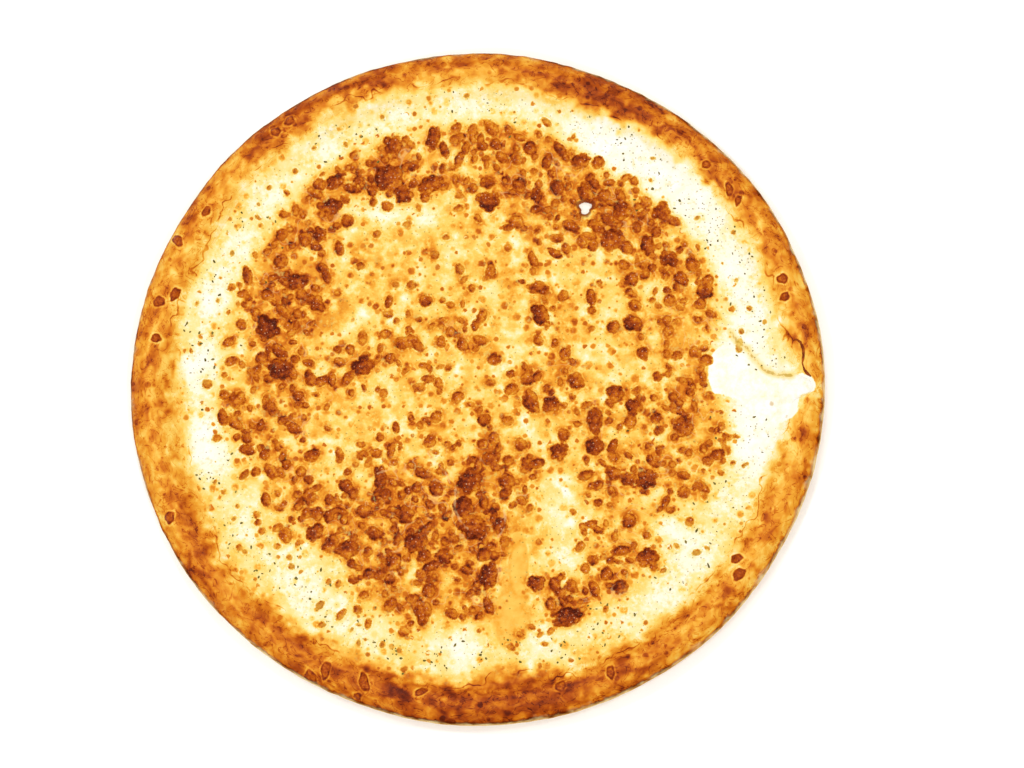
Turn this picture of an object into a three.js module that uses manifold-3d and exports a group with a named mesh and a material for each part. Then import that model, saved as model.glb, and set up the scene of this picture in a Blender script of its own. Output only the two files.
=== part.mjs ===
import * as THREE from 'three';
import Module from 'manifold-3d';

// Cheese pizza resting flat on z = 0. Millimetres, +Z up, +Y towards the top of the pie.
// Two solids: the dough base with its raised rim, and the melted cheese that fills it.

const wasm = await Module();
wasm.setup();

const TAU = Math.PI * 2;
const DEG = Math.PI / 180;

// Base and rim
const MEAN_RADIUS = 152.0;
const OVAL_X = 2.2;             // second harmonic of the outline: slightly wider than deep
const OVAL_XY = -0.7;
const OUTLINE_RIPPLE = 0.32;
const RIM_SEGMENTS = 132;
const RIM_LUMP = 0.75;          // uneven height of the rim
const FLOOR_TOP = 5.0;          // dough thickness under the cheese
// Cross-section of the base: [distance in from the outline, height], from floor to underside
const SECTION = [
  [34.0, 5.0],
  [26.0, 6.6],
  [20.5, 9.3],
  [16.0, 12.3],
  [11.5, 14.4],
  [7.4, 14.7],
  [3.9, 13.2],
  [1.3, 10.4],
  [0.2, 7.0],
  [0.4, 3.6],
  [2.2, 1.1],
  [5.6, 0.0],
];
const CROWN_DISTANCE = 9.5;     // where the rim is highest

// The patches, blisters and crumbs below are listed about a point a little off the middle
const SEAT_X = 1.3;
const SEAT_Y = -1.7;
const SEAT_TILT = -0.0116;

// Browned bubbles and dents along the crown of the rim: [angle in degrees, height, width]
const RIM_BUBBLES = [
  [158, 1.3, 9], [131, 1.0, 7], [117, 1.4, 8], [103, -0.9, 6], [86, 0.9, 8], [66, 1.2, 7],
  [51, 1.3, 9], [37, -0.8, 6], [24, 1.0, 8], [-12, -1.0, 7], [-30, 1.2, 9], [-43, 0.9, 6],
  [-58, 1.3, 9], [-74, -0.8, 6], [-88, 1.1, 8], [-104, 1.3, 9], [-122, 0.9, 7], [-137, 1.2, 8],
  [-152, -0.9, 6], [-168, 1.1, 9], [179, 0.9, 7],
];

// Small browned crumbs fused to the rim: [x, y, length, width, turn in degrees]
const CRUMBS = [
  [-135, 42, 6.4, 3.8, 60], [-142, 38.5, 5.4, 4.6, 20], [-143, 22, 4.6, 4.0, 0],
  [-136, -58, 5.6, 4.6, 80], [-103, -90, 6.2, 3.4, 70], [-66, -125, 8.0, 4.0, 80],
  [-73, -128, 6.6, 5.2, 120], [-49, -130, 8.6, 4.2, 105], [-38, -129, 5.6, 4.6, 150],
  [-32, -131, 4.8, 4.2, 30], [-52, -136, 3.4, 3.0, 0], [-24, -134, 6.0, 3.0, 20],
  [16, -134, 4.4, 3.6, 110], [37, -131, 5.0, 4.2, 40], [59, -125, 6.2, 3.6, 95],
  [115, -82, 6.4, 4.6, 45], [114, -75, 5.4, 4.0, 20], [112, 88, 6.4, 3.2, 100],
  [116, 83, 4.8, 2.8, 70], [135, 48, 5.0, 4.4, 0], [136, 40, 4.6, 3.8, 30],
  [45, 133, 7.0, 4.2, 20], [31, 136, 5.0, 4.0, 100], [-121, 79, 5.2, 3.2, 55],
  [-134, 66, 6.4, 4.2, 130], [-90, 115, 4.6, 4.0, 0], [-84, 120, 5.0, 3.8, 40],
  [102, 99, 4.0, 3.4, 0],
];
const CRUMB_HEIGHT = 1.0;
const CRUMB_SINK = 0.9;
const CRUMB_CLEARANCE = 1.2;

// Melted cheese
const CHEESE_TOP = 9.2;
const CHEESE_EDGE = 134.5;      // mean radius where the cheese thins out on the rim
const EDGE_WANDER = 1.5;
const EDGE_SHIFT = 2.1;         // the cheese sits a little towards the top of the pie
const EDGE_SHIFT_ANGLE = 62;
const FILM = 1.5;               // thickness where the cheese laps up the rim
const LIP = 3.6;                // width over which the edge rounds down
const LIP_RINGS = [-1.3, 1.6, 5.0];  // rings of points along the edge, distance inward
const LIP_STEP = 5.6;
const GAP = 0.3;                // clearance between base and cheese
// Milky cheese that runs out over the rim: [angle in degrees, reach, spread in degrees, sharpness]
const TONGUE_SWELL = [-2.4, 4.4, 7, 3.4];
const TONGUE_TIP = [-1.2, 8.4, 2.0, 3.0];
const BLANK_INSET = 3.4;        // the uncut cheese reaches this far from the outline
const BLANK_FLOOR = 2.6;
const BLANK_SIDES = 90;
const GRID = 9.4;               // spacing of the plain surface points
const SHAKE = 0.04;             // keeps points of a ring off one exact circle
const SHAKE_SEED = 5;

// Large browned blisters: [x, y, radius], largest first
const LARGE_BLISTERS = [
  [-1, -62, 6.5], [-40, 95, 6.0], [-94, 27, 6.0], [60, 67, 5.5], [-4, -41, 5.5],
  [40, -101, 5.2], [5, -83, 5.0], [-21, 92, 5.0], [5, 84, 5.0], [-27, -68, 5.0],
  [-88, 9, 5.0], [-6, -52, 4.8], [-24, -99, 4.8], [-51, 10, 4.6], [-33, 87, 4.5],
  [-81, 48, 4.5], [-32, -56, 4.5], [52, -14, 4.5], [75, -40, 4.5], [75, -74, 4.5],
  [82, 79, 4.5], [64, 79, 4.5], [28, 33, 4.4], [69, 29, 4.4], [-38, 110, 4.2],
  [-20, 113, 4.2], [24, -6, 4.2], [33, -7, 4.2], [91, -17, 4.2], [-64, 93, 4.2],
  [-72, 38, 4.0], [-43, -39, 4.0], [27, 45, 4.0], [48, 88, 4.0], [46, 102, 4.0],
  [-108, -5, 4.0], [-65, 82, 4.0], [-72, -64, 4.0], [-57, -71, 4.0], [69, -8, 4.0],
  [36, -28, 4.0], [52, -26, 4.0], [6, -31, 4.0], [85, 58, 4.0], [26, -86, 3.9],
  [44, 3, 3.9], [61, -2, 3.9], [13, -41, 3.8], [76, 64, 3.8], [-75, -48, 3.8],
  [-65, -69, 3.6], [-37, -77, 3.6], [10, -61, 3.6], [-15, -74, 3.6], [101, 43, 3.4],
];
// Zones where the cheese has browned most, and pale zones: [x, y, spread, strength]
const BROWNED_ZONES = [
  [-42, 98, 20, 0.80], [-80, 80, 17, 1.00], [-82, 52, 17, 1.00], [-92, 28, 15, 0.40],
  [-86, 4, 18, 0.30], [-92, -22, 14, 0.30], [18, 108, 15, 1.10], [36, 93, 17, 1.15],
  [62, 80, 16, 0.55], [84, 62, 15, 0.80], [99, 35, 13, 0.50], [97, 8, 13, 0.30],
  [94, -18, 15, 0.35], [76, -42, 15, 0.50], [106, -42, 8, 0.20], [60, -60, 18, 0.05],
  [68, -84, 15, 0.45], [34, -94, 12, 0.65], [-2, -92, 15, 0.70], [-32, -90, 15, 0.20],
  [-52, -70, 15, 1.15], [-80, -55, 11, 0.60], [-8, -52, 19, 1.15], [-36, -50, 15, 0.75],
  [-60, -36, 12, 0.10], [12, -36, 13, 0.65], [36, -12, 18, 0.30], [58, -16, 15, 0.10],
  [66, 6, 15, -0.20], [36, 12, 13, 0.30], [-56, 6, 14, 0.35], [-14, 20, 16, 0.20],
  [-42, 66, 22, -0.70], [-6, 70, 17, -0.50], [-52, 38, 13, -0.40], [14, 28, 10, -0.50],
  [17, -92, 9, -1.30], [30, -68, 13, -0.70], [40, -44, 9, -0.50], [85, -66, 10, -0.80],
  [27, -20, 9, -0.60], [-74, -92, 19, -1.00], [112, 14, 9, -1.00], [66, 112, 14, -0.80],
  [-110, 70, 14, -0.80], [92, -92, 14, -0.80], [-8, -112, 16, -0.60], [-108, -45, 12, -0.60],
  [0, 84, 10, 0.35], [60, 56, 10, -0.50], [-20, 118, 9, 0.40], [-60, -18, 10, -0.30],
  [44, -78, 9, -0.40],
];
const RING_RADIUS = 90;         // the browning is strongest in a ring inside the rim
const RING_WIDTH = 20;
const RING_BROWNING = 0.2;
const BASE_BROWNING = 0.3;
const BLISTER_LIMIT = 116;      // none of the small ones lie further out
const BLISTER_TRIES = 3000;
const BLISTER_SEED = 31;
const MIN_BLISTER = 1.2;
const BLISTER_RANGE = 2.5;
const MODELLED_BLISTERS = 300;  // only the largest are raised in the solid
// Paler single blisters scattered through the milky band
const STRAYS = 70;
const STRAY_SEED = 12;
const STRAY_INNER = 104;
const STRAY_OUTER = 131;
// Pool of milky cheese behind the tongue, free of blisters
const POOL = { x: 119, y: 5, radius: 15 };
const RING_POINTS_FROM = 3.0;   // blisters this large get a second ring of points

// Smooth yellow lobe of cheese near the lower edge, and a small open pit
const LOBE = { x: 18.3, y: -94.9, halfWidth: 7, halfLength: 19, height: 1.0 };
const PIT = { x: 49.3, y: 78.7, radius: 3.2, depth: 1.8 };

// Herb flecks fused to the milky band
const FLECKS = 64;
const FLECK_SEED = 77;
const FLECK_INNER = 104;
const FLECK_OUTER = 126;
const FLECK_HEIGHT = 0.55;

// Seeded stream of numbers between 0 and 1.
function seeded(seed) {
  let state = seed >>> 0;
  return () => {
    state = (state + 0x6d2b79f5) >>> 0;
    let t = state;
    t = Math.imul(t ^ (t >>> 15), t | 1);
    t ^= t + Math.imul(t ^ (t >>> 7), t | 61);
    return ((t ^ (t >>> 14)) >>> 0) / 4294967296;
  };
}

function clamp(value, low, high) {
  return Math.min(high, Math.max(low, value));
}

// Smooth unevenness between -1 and 1 with features about `wave` mm apart.
function ripple(x, y, wave, seed) {
  let sum = 0;
  for (let k = 0; k < 4; k += 1) {
    const turn = seed * 1.7 + k * 2.4;
    const along = x * Math.cos(turn) + y * Math.sin(turn);
    sum += Math.sin((along * TAU) / (wave * (1 + 0.23 * k)) + seed * 3.1 + k * 1.3);
  }
  return sum / 4;
}

// Moves a listed feature to its place on the pie.
function seat([x, y, ...sizes]) {
  return [x + SEAT_X, y + SEAT_Y + SEAT_TILT * x, ...sizes];
}

const crumbs = CRUMBS.map(seat);
const zones = BROWNED_ZONES.map(seat);

function angleBetween(a, b) {
  return Math.abs(((a - b + 540) % 360) - 180);
}

// Outer radius of the base at an angle.
function outline(angle) {
  const oval = OVAL_X * Math.cos(2 * angle) + OVAL_XY * Math.sin(2 * angle);
  const uneven = Math.sin(4 * angle + 0.6) + 0.6 * Math.sin(8 * angle + 2.1) + 0.4 * Math.sin(14 * angle);
  return MEAN_RADIUS + oval + OUTLINE_RIPPLE * uneven;
}

// Extra height of the rim at an angle and distance in from the outline.
function rimRelief(angle, distance) {
  const across = Math.exp(-(((distance - CROWN_DISTANCE) / 7.5) ** 2));
  const x = MEAN_RADIUS * Math.cos(angle);
  const y = MEAN_RADIUS * Math.sin(angle);
  let height = RIM_LUMP * ripple(x, y, 46, 2) + 0.35 * ripple(x, y, 19, 5);
  for (const [degrees, rise, width] of RIM_BUBBLES) {
    const arc = angleBetween(angle / DEG, degrees) * DEG * MEAN_RADIUS;
    height += rise * Math.exp(-((arc / width) ** 2));
  }
  return height * across;
}

// Height of the top of the base.
function doughTop(x, y) {
  const angle = Math.atan2(y, x);
  const distance = outline(angle) - Math.hypot(x, y);
  if (distance >= SECTION[0][0]) {
    return FLOOR_TOP;
  }
  let i = 1;
  while (i < 8 && SECTION[i][0] > distance) {
    i += 1;
  }
  const [d0, z0] = SECTION[i - 1];
  const [d1, z1] = SECTION[i];
  const t = clamp((d0 - distance) / (d0 - d1), 0, 1);
  return z0 + (z1 - z0) * t + rimRelief(angle, distance);
}

// Radius where the cheese ends, at an angle.
function cheeseEdge(angle) {
  const wander = 0.6 * Math.sin(3 * angle + 1) + 0.5 * Math.sin(7 * angle) + 0.5 * Math.sin(13 * angle + 2);
  const shift = EDGE_SHIFT * Math.cos(angle - EDGE_SHIFT_ANGLE * DEG);
  let tongue = 0;
  for (const [middle, reach, spread, sharpness] of [TONGUE_SWELL, TONGUE_TIP]) {
    const off = angleBetween(angle / DEG, middle) / spread;
    tongue += reach * Math.exp(-(off ** sharpness));
  }
  return CHEESE_EDGE + shift + EDGE_WANDER * wander + tongue;
}

function edgeSlope(angle) {
  return (cheeseEdge(angle + 0.002) - cheeseEdge(angle)) / 0.002;
}

// Angles that step evenly along the edge of the cheese, closer together round the tongue.
function edgeAngles() {
  const start = 0.5;
  const angles = [];
  for (let angle = start; angle < start + TAU; ) {
    angles.push(angle);
    const onTip = angleBetween(angle / DEG, TONGUE_TIP[0]) < 2.2 * TONGUE_TIP[2];
    angle += (LIP_STEP * (onTip ? 0.45 : 1)) / Math.hypot(cheeseEdge(angle), edgeSlope(angle));
  }
  return angles;
}

// Point a distance inward of the edge of the cheese, square to the edge.
function edgePoint(angle, inward) {
  const radius = cheeseEdge(angle);
  const slope = edgeSlope(angle) / radius;
  const scale = inward / Math.hypot(1, slope);
  const along = radius - scale;
  const across = slope * scale;
  const x = along * Math.cos(angle) - across * Math.sin(angle);
  const y = along * Math.sin(angle) + across * Math.cos(angle);
  return [x, y];
}

// How strongly the cheese has browned at a point, 0 to 1.
function browning(x, y) {
  const radius = Math.hypot(x, y);
  let strength = BASE_BROWNING + RING_BROWNING * Math.exp(-(((radius - RING_RADIUS) / RING_WIDTH) ** 2));
  for (const [zx, zy, spread, weight] of zones) {
    const square = (x - zx) ** 2 + (y - zy) ** 2;
    strength += weight * Math.exp(-square / (spread * spread));
  }
  return clamp(strength, 0, 1);
}

function outOfPool(x, y) {
  return Math.hypot(POOL.x - x, POOL.y - y) > POOL.radius;
}

// Every blister as { x, y, r }, largest first.
function placeBlisters() {
  const placed = LARGE_BLISTERS.map(seat).map(([x, y, r]) => ({ x, y, r }));
  const random = seeded(BLISTER_SEED);
  for (let i = 0; i < BLISTER_TRIES; i += 1) {
    const radius = BLISTER_LIMIT * Math.sqrt(random());
    const angle = TAU * random();
    const size = random();
    const luck = random();
    const x = radius * Math.cos(angle);
    const y = radius * Math.sin(angle);
    const strength = browning(x, y);
    const r = MIN_BLISTER + BLISTER_RANGE * (0.55 + 0.45 * strength) * size ** 1.9;
    const free = placed.every((b) => Math.hypot(b.x - x, b.y - y) > 0.84 * (b.r + r));
    const outOfPit = Math.hypot(PIT.x - x, PIT.y - y) > PIT.radius + 1;
    if (luck < strength ** 1.5 && free && outOfPit && outOfPool(x, y)) {
      placed.push({ x, y, r });
    }
  }
  placeStrays(placed);
  return placed.sort((a, b) => b.r - a.r);
}

// Adds the single blisters of the milky band to the list.
function placeStrays(placed) {
  const random = seeded(STRAY_SEED);
  const wanted = placed.length + STRAYS;
  while (placed.length < wanted) {
    const angle = TAU * random();
    const radius = STRAY_INNER + (STRAY_OUTER - STRAY_INNER) * random();
    const r = 0.8 + 1.4 * random() ** 2;
    const x = radius * Math.cos(angle);
    const y = radius * Math.sin(angle);
    const apart = placed.every((b) => Math.hypot(b.x - x, b.y - y) > b.r + r + 0.8);
    if (apart && outOfPool(x, y)) {
      placed.push({ x, y, r });
    }
  }
}

const blisters = placeBlisters();
const raised = blisters.slice(0, MODELLED_BLISTERS);

function blisterHeight(r) {
  return 0.35 + 0.26 * r;
}

// Rise of the tallest blister over a point.
function blisterRise(x, y) {
  let rise = 0;
  for (const b of raised) {
    const t = Math.hypot(x - b.x, y - b.y) / b.r;
    if (t < 1) {
      rise = Math.max(rise, blisterHeight(b.r) * (1 - t ** 2.4));
    }
  }
  return rise;
}

function lobeRise(x, y) {
  const square = ((x - LOBE.x) / LOBE.halfWidth) ** 2 + ((y - LOBE.y) / LOBE.halfLength) ** 2;
  return square < 1 ? LOBE.height * (1 - square ** 1.5) : 0;
}

// Height of the plain cheese surface, without blisters.
function plainCheese(x, y) {
  const angle = Math.atan2(y, x);
  const inside = cheeseEdge(angle) - Math.hypot(x, y);
  const dough = doughTop(x, y);
  if (inside < 0) {
    return dough + 1.4 * inside - 0.1;
  }
  const pool = CHEESE_TOP + 0.3 * ripple(x, y, 58, 1) + 0.22 * ripple(x, y, 24, 4);
  const lapped = dough + FILM;
  const blend = Math.exp(pool / 0.8) + Math.exp(lapped / 0.8);
  const full = 0.8 * Math.log(blend);
  const rounding = Math.sqrt(clamp(inside / LIP, 0, 1));
  return dough + (full - dough) * rounding;
}

function cheeseTop(x, y) {
  const pit = Math.hypot(x - PIT.x, y - PIT.y) / PIT.radius;
  const sunk = pit < 1 ? PIT.depth * (1 - pit ** 3) : 0;
  return plainCheese(x, y) + Math.max(blisterRise(x, y), lobeRise(x, y)) - sunk;
}

// Points of the cheese surface as [x, y, z]; a point too close to an earlier one is dropped.
function surfacePoints() {
  const points = [];
  const cells = new Map();
  const cell = 4;
  const random = seeded(SHAKE_SEED);
  const shake = () => SHAKE * (random() - 0.5);
  const key = (i, j) => i * 1000 + j;
  const add = (x, y, z, spacing) => {
    const ci = Math.floor(x / cell);
    const cj = Math.floor(y / cell);
    const reach = Math.ceil(spacing / cell);
    for (let i = ci - reach; i <= ci + reach; i += 1) {
      for (let j = cj - reach; j <= cj + reach; j += 1) {
        for (const other of cells.get(key(i, j)) ?? []) {
          if (Math.hypot(other[0] - x, other[1] - y) < spacing) {
            return;
          }
        }
      }
    }
    const point = [x + shake(), y + shake(), z ?? cheeseTop(x, y)];
    points.push(point);
    cells.set(key(ci, cj), [...(cells.get(key(ci, cj)) ?? []), point]);
  };
  const addRing = (cx, cy, r, count, turn, z, spacing) => {
    for (let k = 0; k < count; k += 1) {
      const angle = turn + (TAU * k) / count;
      add(cx + r * Math.cos(angle), cy + r * Math.sin(angle), z, spacing);
    }
  };

  for (let k = 0; k < BLANK_SIDES; k += 1) {
    const angle = (TAU * k) / BLANK_SIDES;
    const radius = outline(angle) - BLANK_INSET;
    add(radius * Math.cos(angle), radius * Math.sin(angle), BLANK_FLOOR + 0.6, 0);
  }
  add(PIT.x, PIT.y, undefined, 0.5);
  addRing(PIT.x, PIT.y, 0.7 * PIT.radius, 6, 0.3, undefined, 0.5);
  addRing(PIT.x, PIT.y, PIT.radius, 8, 0, undefined, 0.5);
  raised.forEach((b, index) => {
    add(b.x, b.y, undefined, 0.9);
    if (b.r >= RING_POINTS_FROM) {
      addRing(b.x, b.y, 0.62 * b.r, 6, index, undefined, 1.1);
    }
  });
  raised.forEach((b, index) => {
    addRing(b.x, b.y, 1.02 * b.r, 6, index + 0.52, undefined, 1.15);
  });
  for (const fleck of placeFlecks()) {
    const ground = plainCheese(fleck.x, fleck.y);
    add(fleck.x, fleck.y, ground + FLECK_HEIGHT, 1.6);
    addRing(fleck.x, fleck.y, fleck.r, 4, fleck.turn, undefined, 0.8);
  }
  const angles = edgeAngles();
  LIP_RINGS.forEach((inward, ring) => {
    angles.forEach((angle, k) => {
      const next = angles[k + 1] ?? angle;
      const [x, y] = edgePoint(angle + 0.5 * (ring % 2) * (next - angle), inward);
      add(x, y, undefined, 1.9);
    });
  });
  addRing(LOBE.x, LOBE.y, 2, 4, 0, undefined, 2.5);
  for (let k = -3; k <= 3; k += 1) {
    for (const side of [-1, -0.5, 0.5, 1]) {
      const half = LOBE.halfWidth * Math.sqrt(1 - (k / 3.6) ** 2);
      add(LOBE.x + side * half, LOBE.y + (k * LOBE.halfLength) / 3.2, undefined, 2.2);
    }
  }
  const rows = Math.ceil(MEAN_RADIUS / (GRID * 0.866));
  for (let j = -rows; j <= rows; j += 1) {
    for (let i = -rows; i <= rows; i += 1) {
      const x = (i + 0.5 * (Math.abs(j) % 2)) * GRID + 0.8 * ripple(i * 7, j * 5, 9, 3);
      const y = j * GRID * 0.866 + 0.8 * ripple(i * 5, j * 7, 9, 8);
      const room = cheeseEdge(Math.atan2(y, x)) - Math.hypot(x, y);
      if (room > 6.5) {
        add(x, y, undefined, 3.4);
      }
    }
  }
  return points;
}

// Herb flecks in the milky band, clear of the blisters.
function placeFlecks() {
  const random = seeded(FLECK_SEED);
  const placed = [];
  while (placed.length < FLECKS) {
    const angle = TAU * random();
    const radius = FLECK_INNER + (FLECK_OUTER - FLECK_INNER) * random();
    const r = 0.85 + 0.4 * random();
    const turn = TAU * random();
    const x = radius * Math.cos(angle);
    const y = radius * Math.sin(angle);
    const clear = raised.every((b) => Math.hypot(b.x - x, b.y - y) > b.r + 2.2);
    const apart = placed.every((f) => Math.hypot(f.x - x, f.y - y) > 3.2);
    if (clear && apart) {
      placed.push({ x, y, r, turn });
    }
  }
  return placed;
}

// Circumcircle of three points.
function circle(p, q, r) {
  const bx = q[0] - p[0];
  const by = q[1] - p[1];
  const cx = r[0] - p[0];
  const cy = r[1] - p[1];
  const d = 2 * (bx * cy - by * cx);
  const b2 = bx * bx + by * by;
  const c2 = cx * cx + cy * cy;
  const x = (cy * b2 - by * c2) / d;
  const y = (bx * c2 - cx * b2) / d;
  return { x: p[0] + x, y: p[1] + y, square: x * x + y * y };
}

// Triangulates points in plan so that no triangle's circumcircle holds another point.
function triangulate(points) {
  const far = 20000;
  const all = [...points, [-far, -far], [far, -far], [0, far]];
  const n = points.length;
  const make = (a, b, c) => ({ a, b, c, ...circle(all[a], all[b], all[c]) });
  let triangles = [make(n, n + 1, n + 2)];
  for (let i = 0; i < n; i += 1) {
    const [x, y] = points[i];
    const edges = new Map();
    const kept = [];
    for (const t of triangles) {
      if ((t.x - x) ** 2 + (t.y - y) ** 2 >= t.square) {
        kept.push(t);
        continue;
      }
      for (const [a, b] of [[t.a, t.b], [t.b, t.c], [t.c, t.a]]) {
        const twin = `${b},${a}`;
        if (edges.has(twin)) {
          edges.delete(twin);
        } else {
          edges.set(`${a},${b}`, [a, b]);
        }
      }
    }
    for (const [a, b] of edges.values()) {
      kept.push(make(a, b, i));
    }
    triangles = kept;
  }
  return triangles.filter((t) => t.a < n && t.b < n && t.c < n).map((t) => [t.a, t.b, t.c]);
}

function toManifold(vertices, triangles) {
  return new wasm.Manifold(new wasm.Mesh({
    numProp: 3,
    vertProperties: new Float32Array(vertices.flat()),
    triVerts: new Uint32Array(triangles.flat()),
  }));
}

// Base: a fan for the floor, rings around the section, a fan for the underside.
function buildDough() {
  const vertices = [[0, 0, FLOOR_TOP]];
  const triangles = [];
  const n = RIM_SEGMENTS;
  SECTION.forEach(([distance, z], ring) => {
    for (let k = 0; k < n; k += 1) {
      const angle = (TAU * k) / n;
      const radius = outline(angle) - distance;
      const onTop = ring > 0 && ring < 8;
      const height = onTop ? z + rimRelief(angle, distance) : z;
      vertices.push([radius * Math.cos(angle), radius * Math.sin(angle), height]);
    }
  });
  const bottom = vertices.push([0, 0, 0]) - 1;
  const last = SECTION.length - 1;
  for (let k = 0; k < n; k += 1) {
    const next = (k + 1) % n;
    triangles.push([0, 1 + k, 1 + next]);
    for (let ring = 0; ring < last; ring += 1) {
      const a = 1 + ring * n + k;
      const b = 1 + ring * n + next;
      triangles.push([a, a + n, b + n], [a, b + n, b]);
    }
    triangles.push([bottom, 1 + last * n + next, 1 + last * n + k]);
  }
  return toManifold(vertices, triangles);
}

// One crumb: a low oval dome with six sides, half sunk in the dough.
function buildCrumb([x, y, length, width, degrees]) {
  const ground = doughTop(x, y);
  const turn = degrees * DEG;
  const levels = [[1, -CRUMB_SINK], [1, 0.15], [0.62, 0.8 * CRUMB_HEIGHT]];
  const sides = 6;
  const vertices = [];
  const triangles = [];
  for (const [scale, rise] of levels) {
    for (let k = 0; k < sides; k += 1) {
      const angle = (TAU * k) / sides;
      const u = 0.5 * length * scale * Math.cos(angle);
      const v = 0.5 * width * scale * Math.sin(angle);
      const px = x + u * Math.cos(turn) - v * Math.sin(turn);
      const py = y + u * Math.sin(turn) + v * Math.cos(turn);
      vertices.push([px, py, doughTop(px, py) + rise]);
    }
  }
  const low = vertices.push([x, y, ground - CRUMB_SINK]) - 1;
  const high = vertices.push([x, y, ground + CRUMB_HEIGHT]) - 1;
  for (let k = 0; k < sides; k += 1) {
    const next = (k + 1) % sides;
    triangles.push([low, next, k], [high, 2 * sides + k, 2 * sides + next]);
    for (const base of [0, sides]) {
      triangles.push([base + k, base + next, base + sides + next]);
      triangles.push([base + k, base + sides + next, base + sides + k]);
    }
  }
  return toManifold(vertices, triangles);
}

function clearOfCheese([x, y, length]) {
  const room = Math.hypot(x, y) - 0.5 * length - cheeseEdge(Math.atan2(y, x));
  return room > CRUMB_CLEARANCE;
}

// Cheese: a height field closed by a deep floor, with the base and its clearance cut away.
function buildCheese(dough) {
  const points = surfacePoints();
  const triangles = triangulate(points);
  const rim = BLANK_SIDES;
  const low = points.length;
  const vertices = [...points];
  for (let k = 0; k < rim; k += 1) {
    vertices.push([points[k][0], points[k][1], BLANK_FLOOR]);
  }
  const centre = vertices.push([0, 0, BLANK_FLOOR]) - 1;
  for (let k = 0; k < rim; k += 1) {
    const next = (k + 1) % rim;
    triangles.push([k, low + k, low + next], [k, low + next, next]);
    triangles.push([centre, low + next, low + k]);
  }
  const cut = toManifold(vertices, triangles).subtract(dough.translate([0, 0, GAP]));
  const bodies = cut.decompose();
  return bodies.reduce((best, body) => (body.volume() > best.volume() ? body : best));
}

function toMesh(name, solid, look) {
  const { vertProperties, triVerts } = solid.getMesh();
  const geometry = new THREE.BufferGeometry();
  geometry.setAttribute('position', new THREE.BufferAttribute(new Float32Array(vertProperties), 3));
  geometry.setIndex(new THREE.BufferAttribute(new Uint32Array(triVerts), 1));
  geometry.computeVertexNormals();
  const mesh = new THREE.Mesh(geometry, new THREE.MeshStandardMaterial({ ...look, flatShading: true }));
  mesh.name = name;
  return mesh;
}

const plainDough = buildDough();
const cheese = buildCheese(plainDough);
let dough = plainDough;
for (const crumb of crumbs.filter(clearOfCheese)) {
  dough = dough.add(buildCrumb(crumb));
}

const group = new THREE.Group();
group.name = 'cheese_pizza';
group.add(toMesh('crust', dough, { color: 0xd07f2c, roughness: 0.5, metalness: 0 }));
group.add(toMesh('cheese', cheese, { color: 0xe9b455, roughness: 0.35, metalness: 0 }));

export default group;
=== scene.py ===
import math

import bpy
import numpy as np
from mathutils import Matrix, Vector


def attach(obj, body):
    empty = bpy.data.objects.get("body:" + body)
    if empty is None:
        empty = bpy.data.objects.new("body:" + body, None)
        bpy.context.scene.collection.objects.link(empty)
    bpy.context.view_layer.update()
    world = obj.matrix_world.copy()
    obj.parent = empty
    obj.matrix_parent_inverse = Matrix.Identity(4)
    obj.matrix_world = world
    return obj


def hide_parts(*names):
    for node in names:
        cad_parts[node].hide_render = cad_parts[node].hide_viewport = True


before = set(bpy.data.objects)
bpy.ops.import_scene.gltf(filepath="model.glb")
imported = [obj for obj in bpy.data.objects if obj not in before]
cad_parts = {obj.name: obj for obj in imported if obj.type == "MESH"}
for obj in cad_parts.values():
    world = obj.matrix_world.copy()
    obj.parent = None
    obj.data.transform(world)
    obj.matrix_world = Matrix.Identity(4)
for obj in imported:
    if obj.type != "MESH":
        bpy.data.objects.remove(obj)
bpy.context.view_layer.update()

# Cheese pizza. Positions are worked out in millimetres in the row frame and written in metres.
MM = 0.001
TAU = 2.0 * math.pi

# --- named sizes, as in the solids
MEAN_RADIUS = 152.0
OVAL_X = 2.2
OVAL_XY = -0.7
OUTLINE_RIPPLE = 0.32
RIM_LUMP = 0.75
FLOOR_TOP = 5.0
CROWN_DISTANCE = 9.5
# The features listed below are listed about a point a little off the middle
SEAT_X = 1.3
SEAT_Y = -1.7
SEAT_TILT = -0.0116
# Cross-section of the base, over the rim and under it: distance in from the outline, height
SECTION = [
    (34.0, 5.0), (26.0, 6.6), (20.5, 9.3), (16.0, 12.3), (11.5, 14.4), (7.4, 14.7), (3.9, 13.2),
    (1.3, 10.4), (0.2, 7.0), (0.4, 3.6), (2.2, 1.1), (5.6, 0.0),
]
# Bubbles of the rim: angle in degrees, rise, half width
RIM_BUBBLES = [
    (158, 1.3, 9), (131, 1.0, 7), (117, 1.4, 8), (103, -0.9, 6), (86, 0.9, 8), (66, 1.2, 7),
    (51, 1.3, 9), (37, -0.8, 6), (24, 1.0, 8), (-12, -1.0, 7), (-30, 1.2, 9), (-43, 0.9, 6),
    (-58, 1.3, 9), (-74, -0.8, 6), (-88, 1.1, 8), (-104, 1.3, 9), (-122, 0.9, 7), (-137, 1.2, 8),
    (-152, -0.9, 6), (-168, 1.1, 9), (179, 0.9, 7),
]
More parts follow.
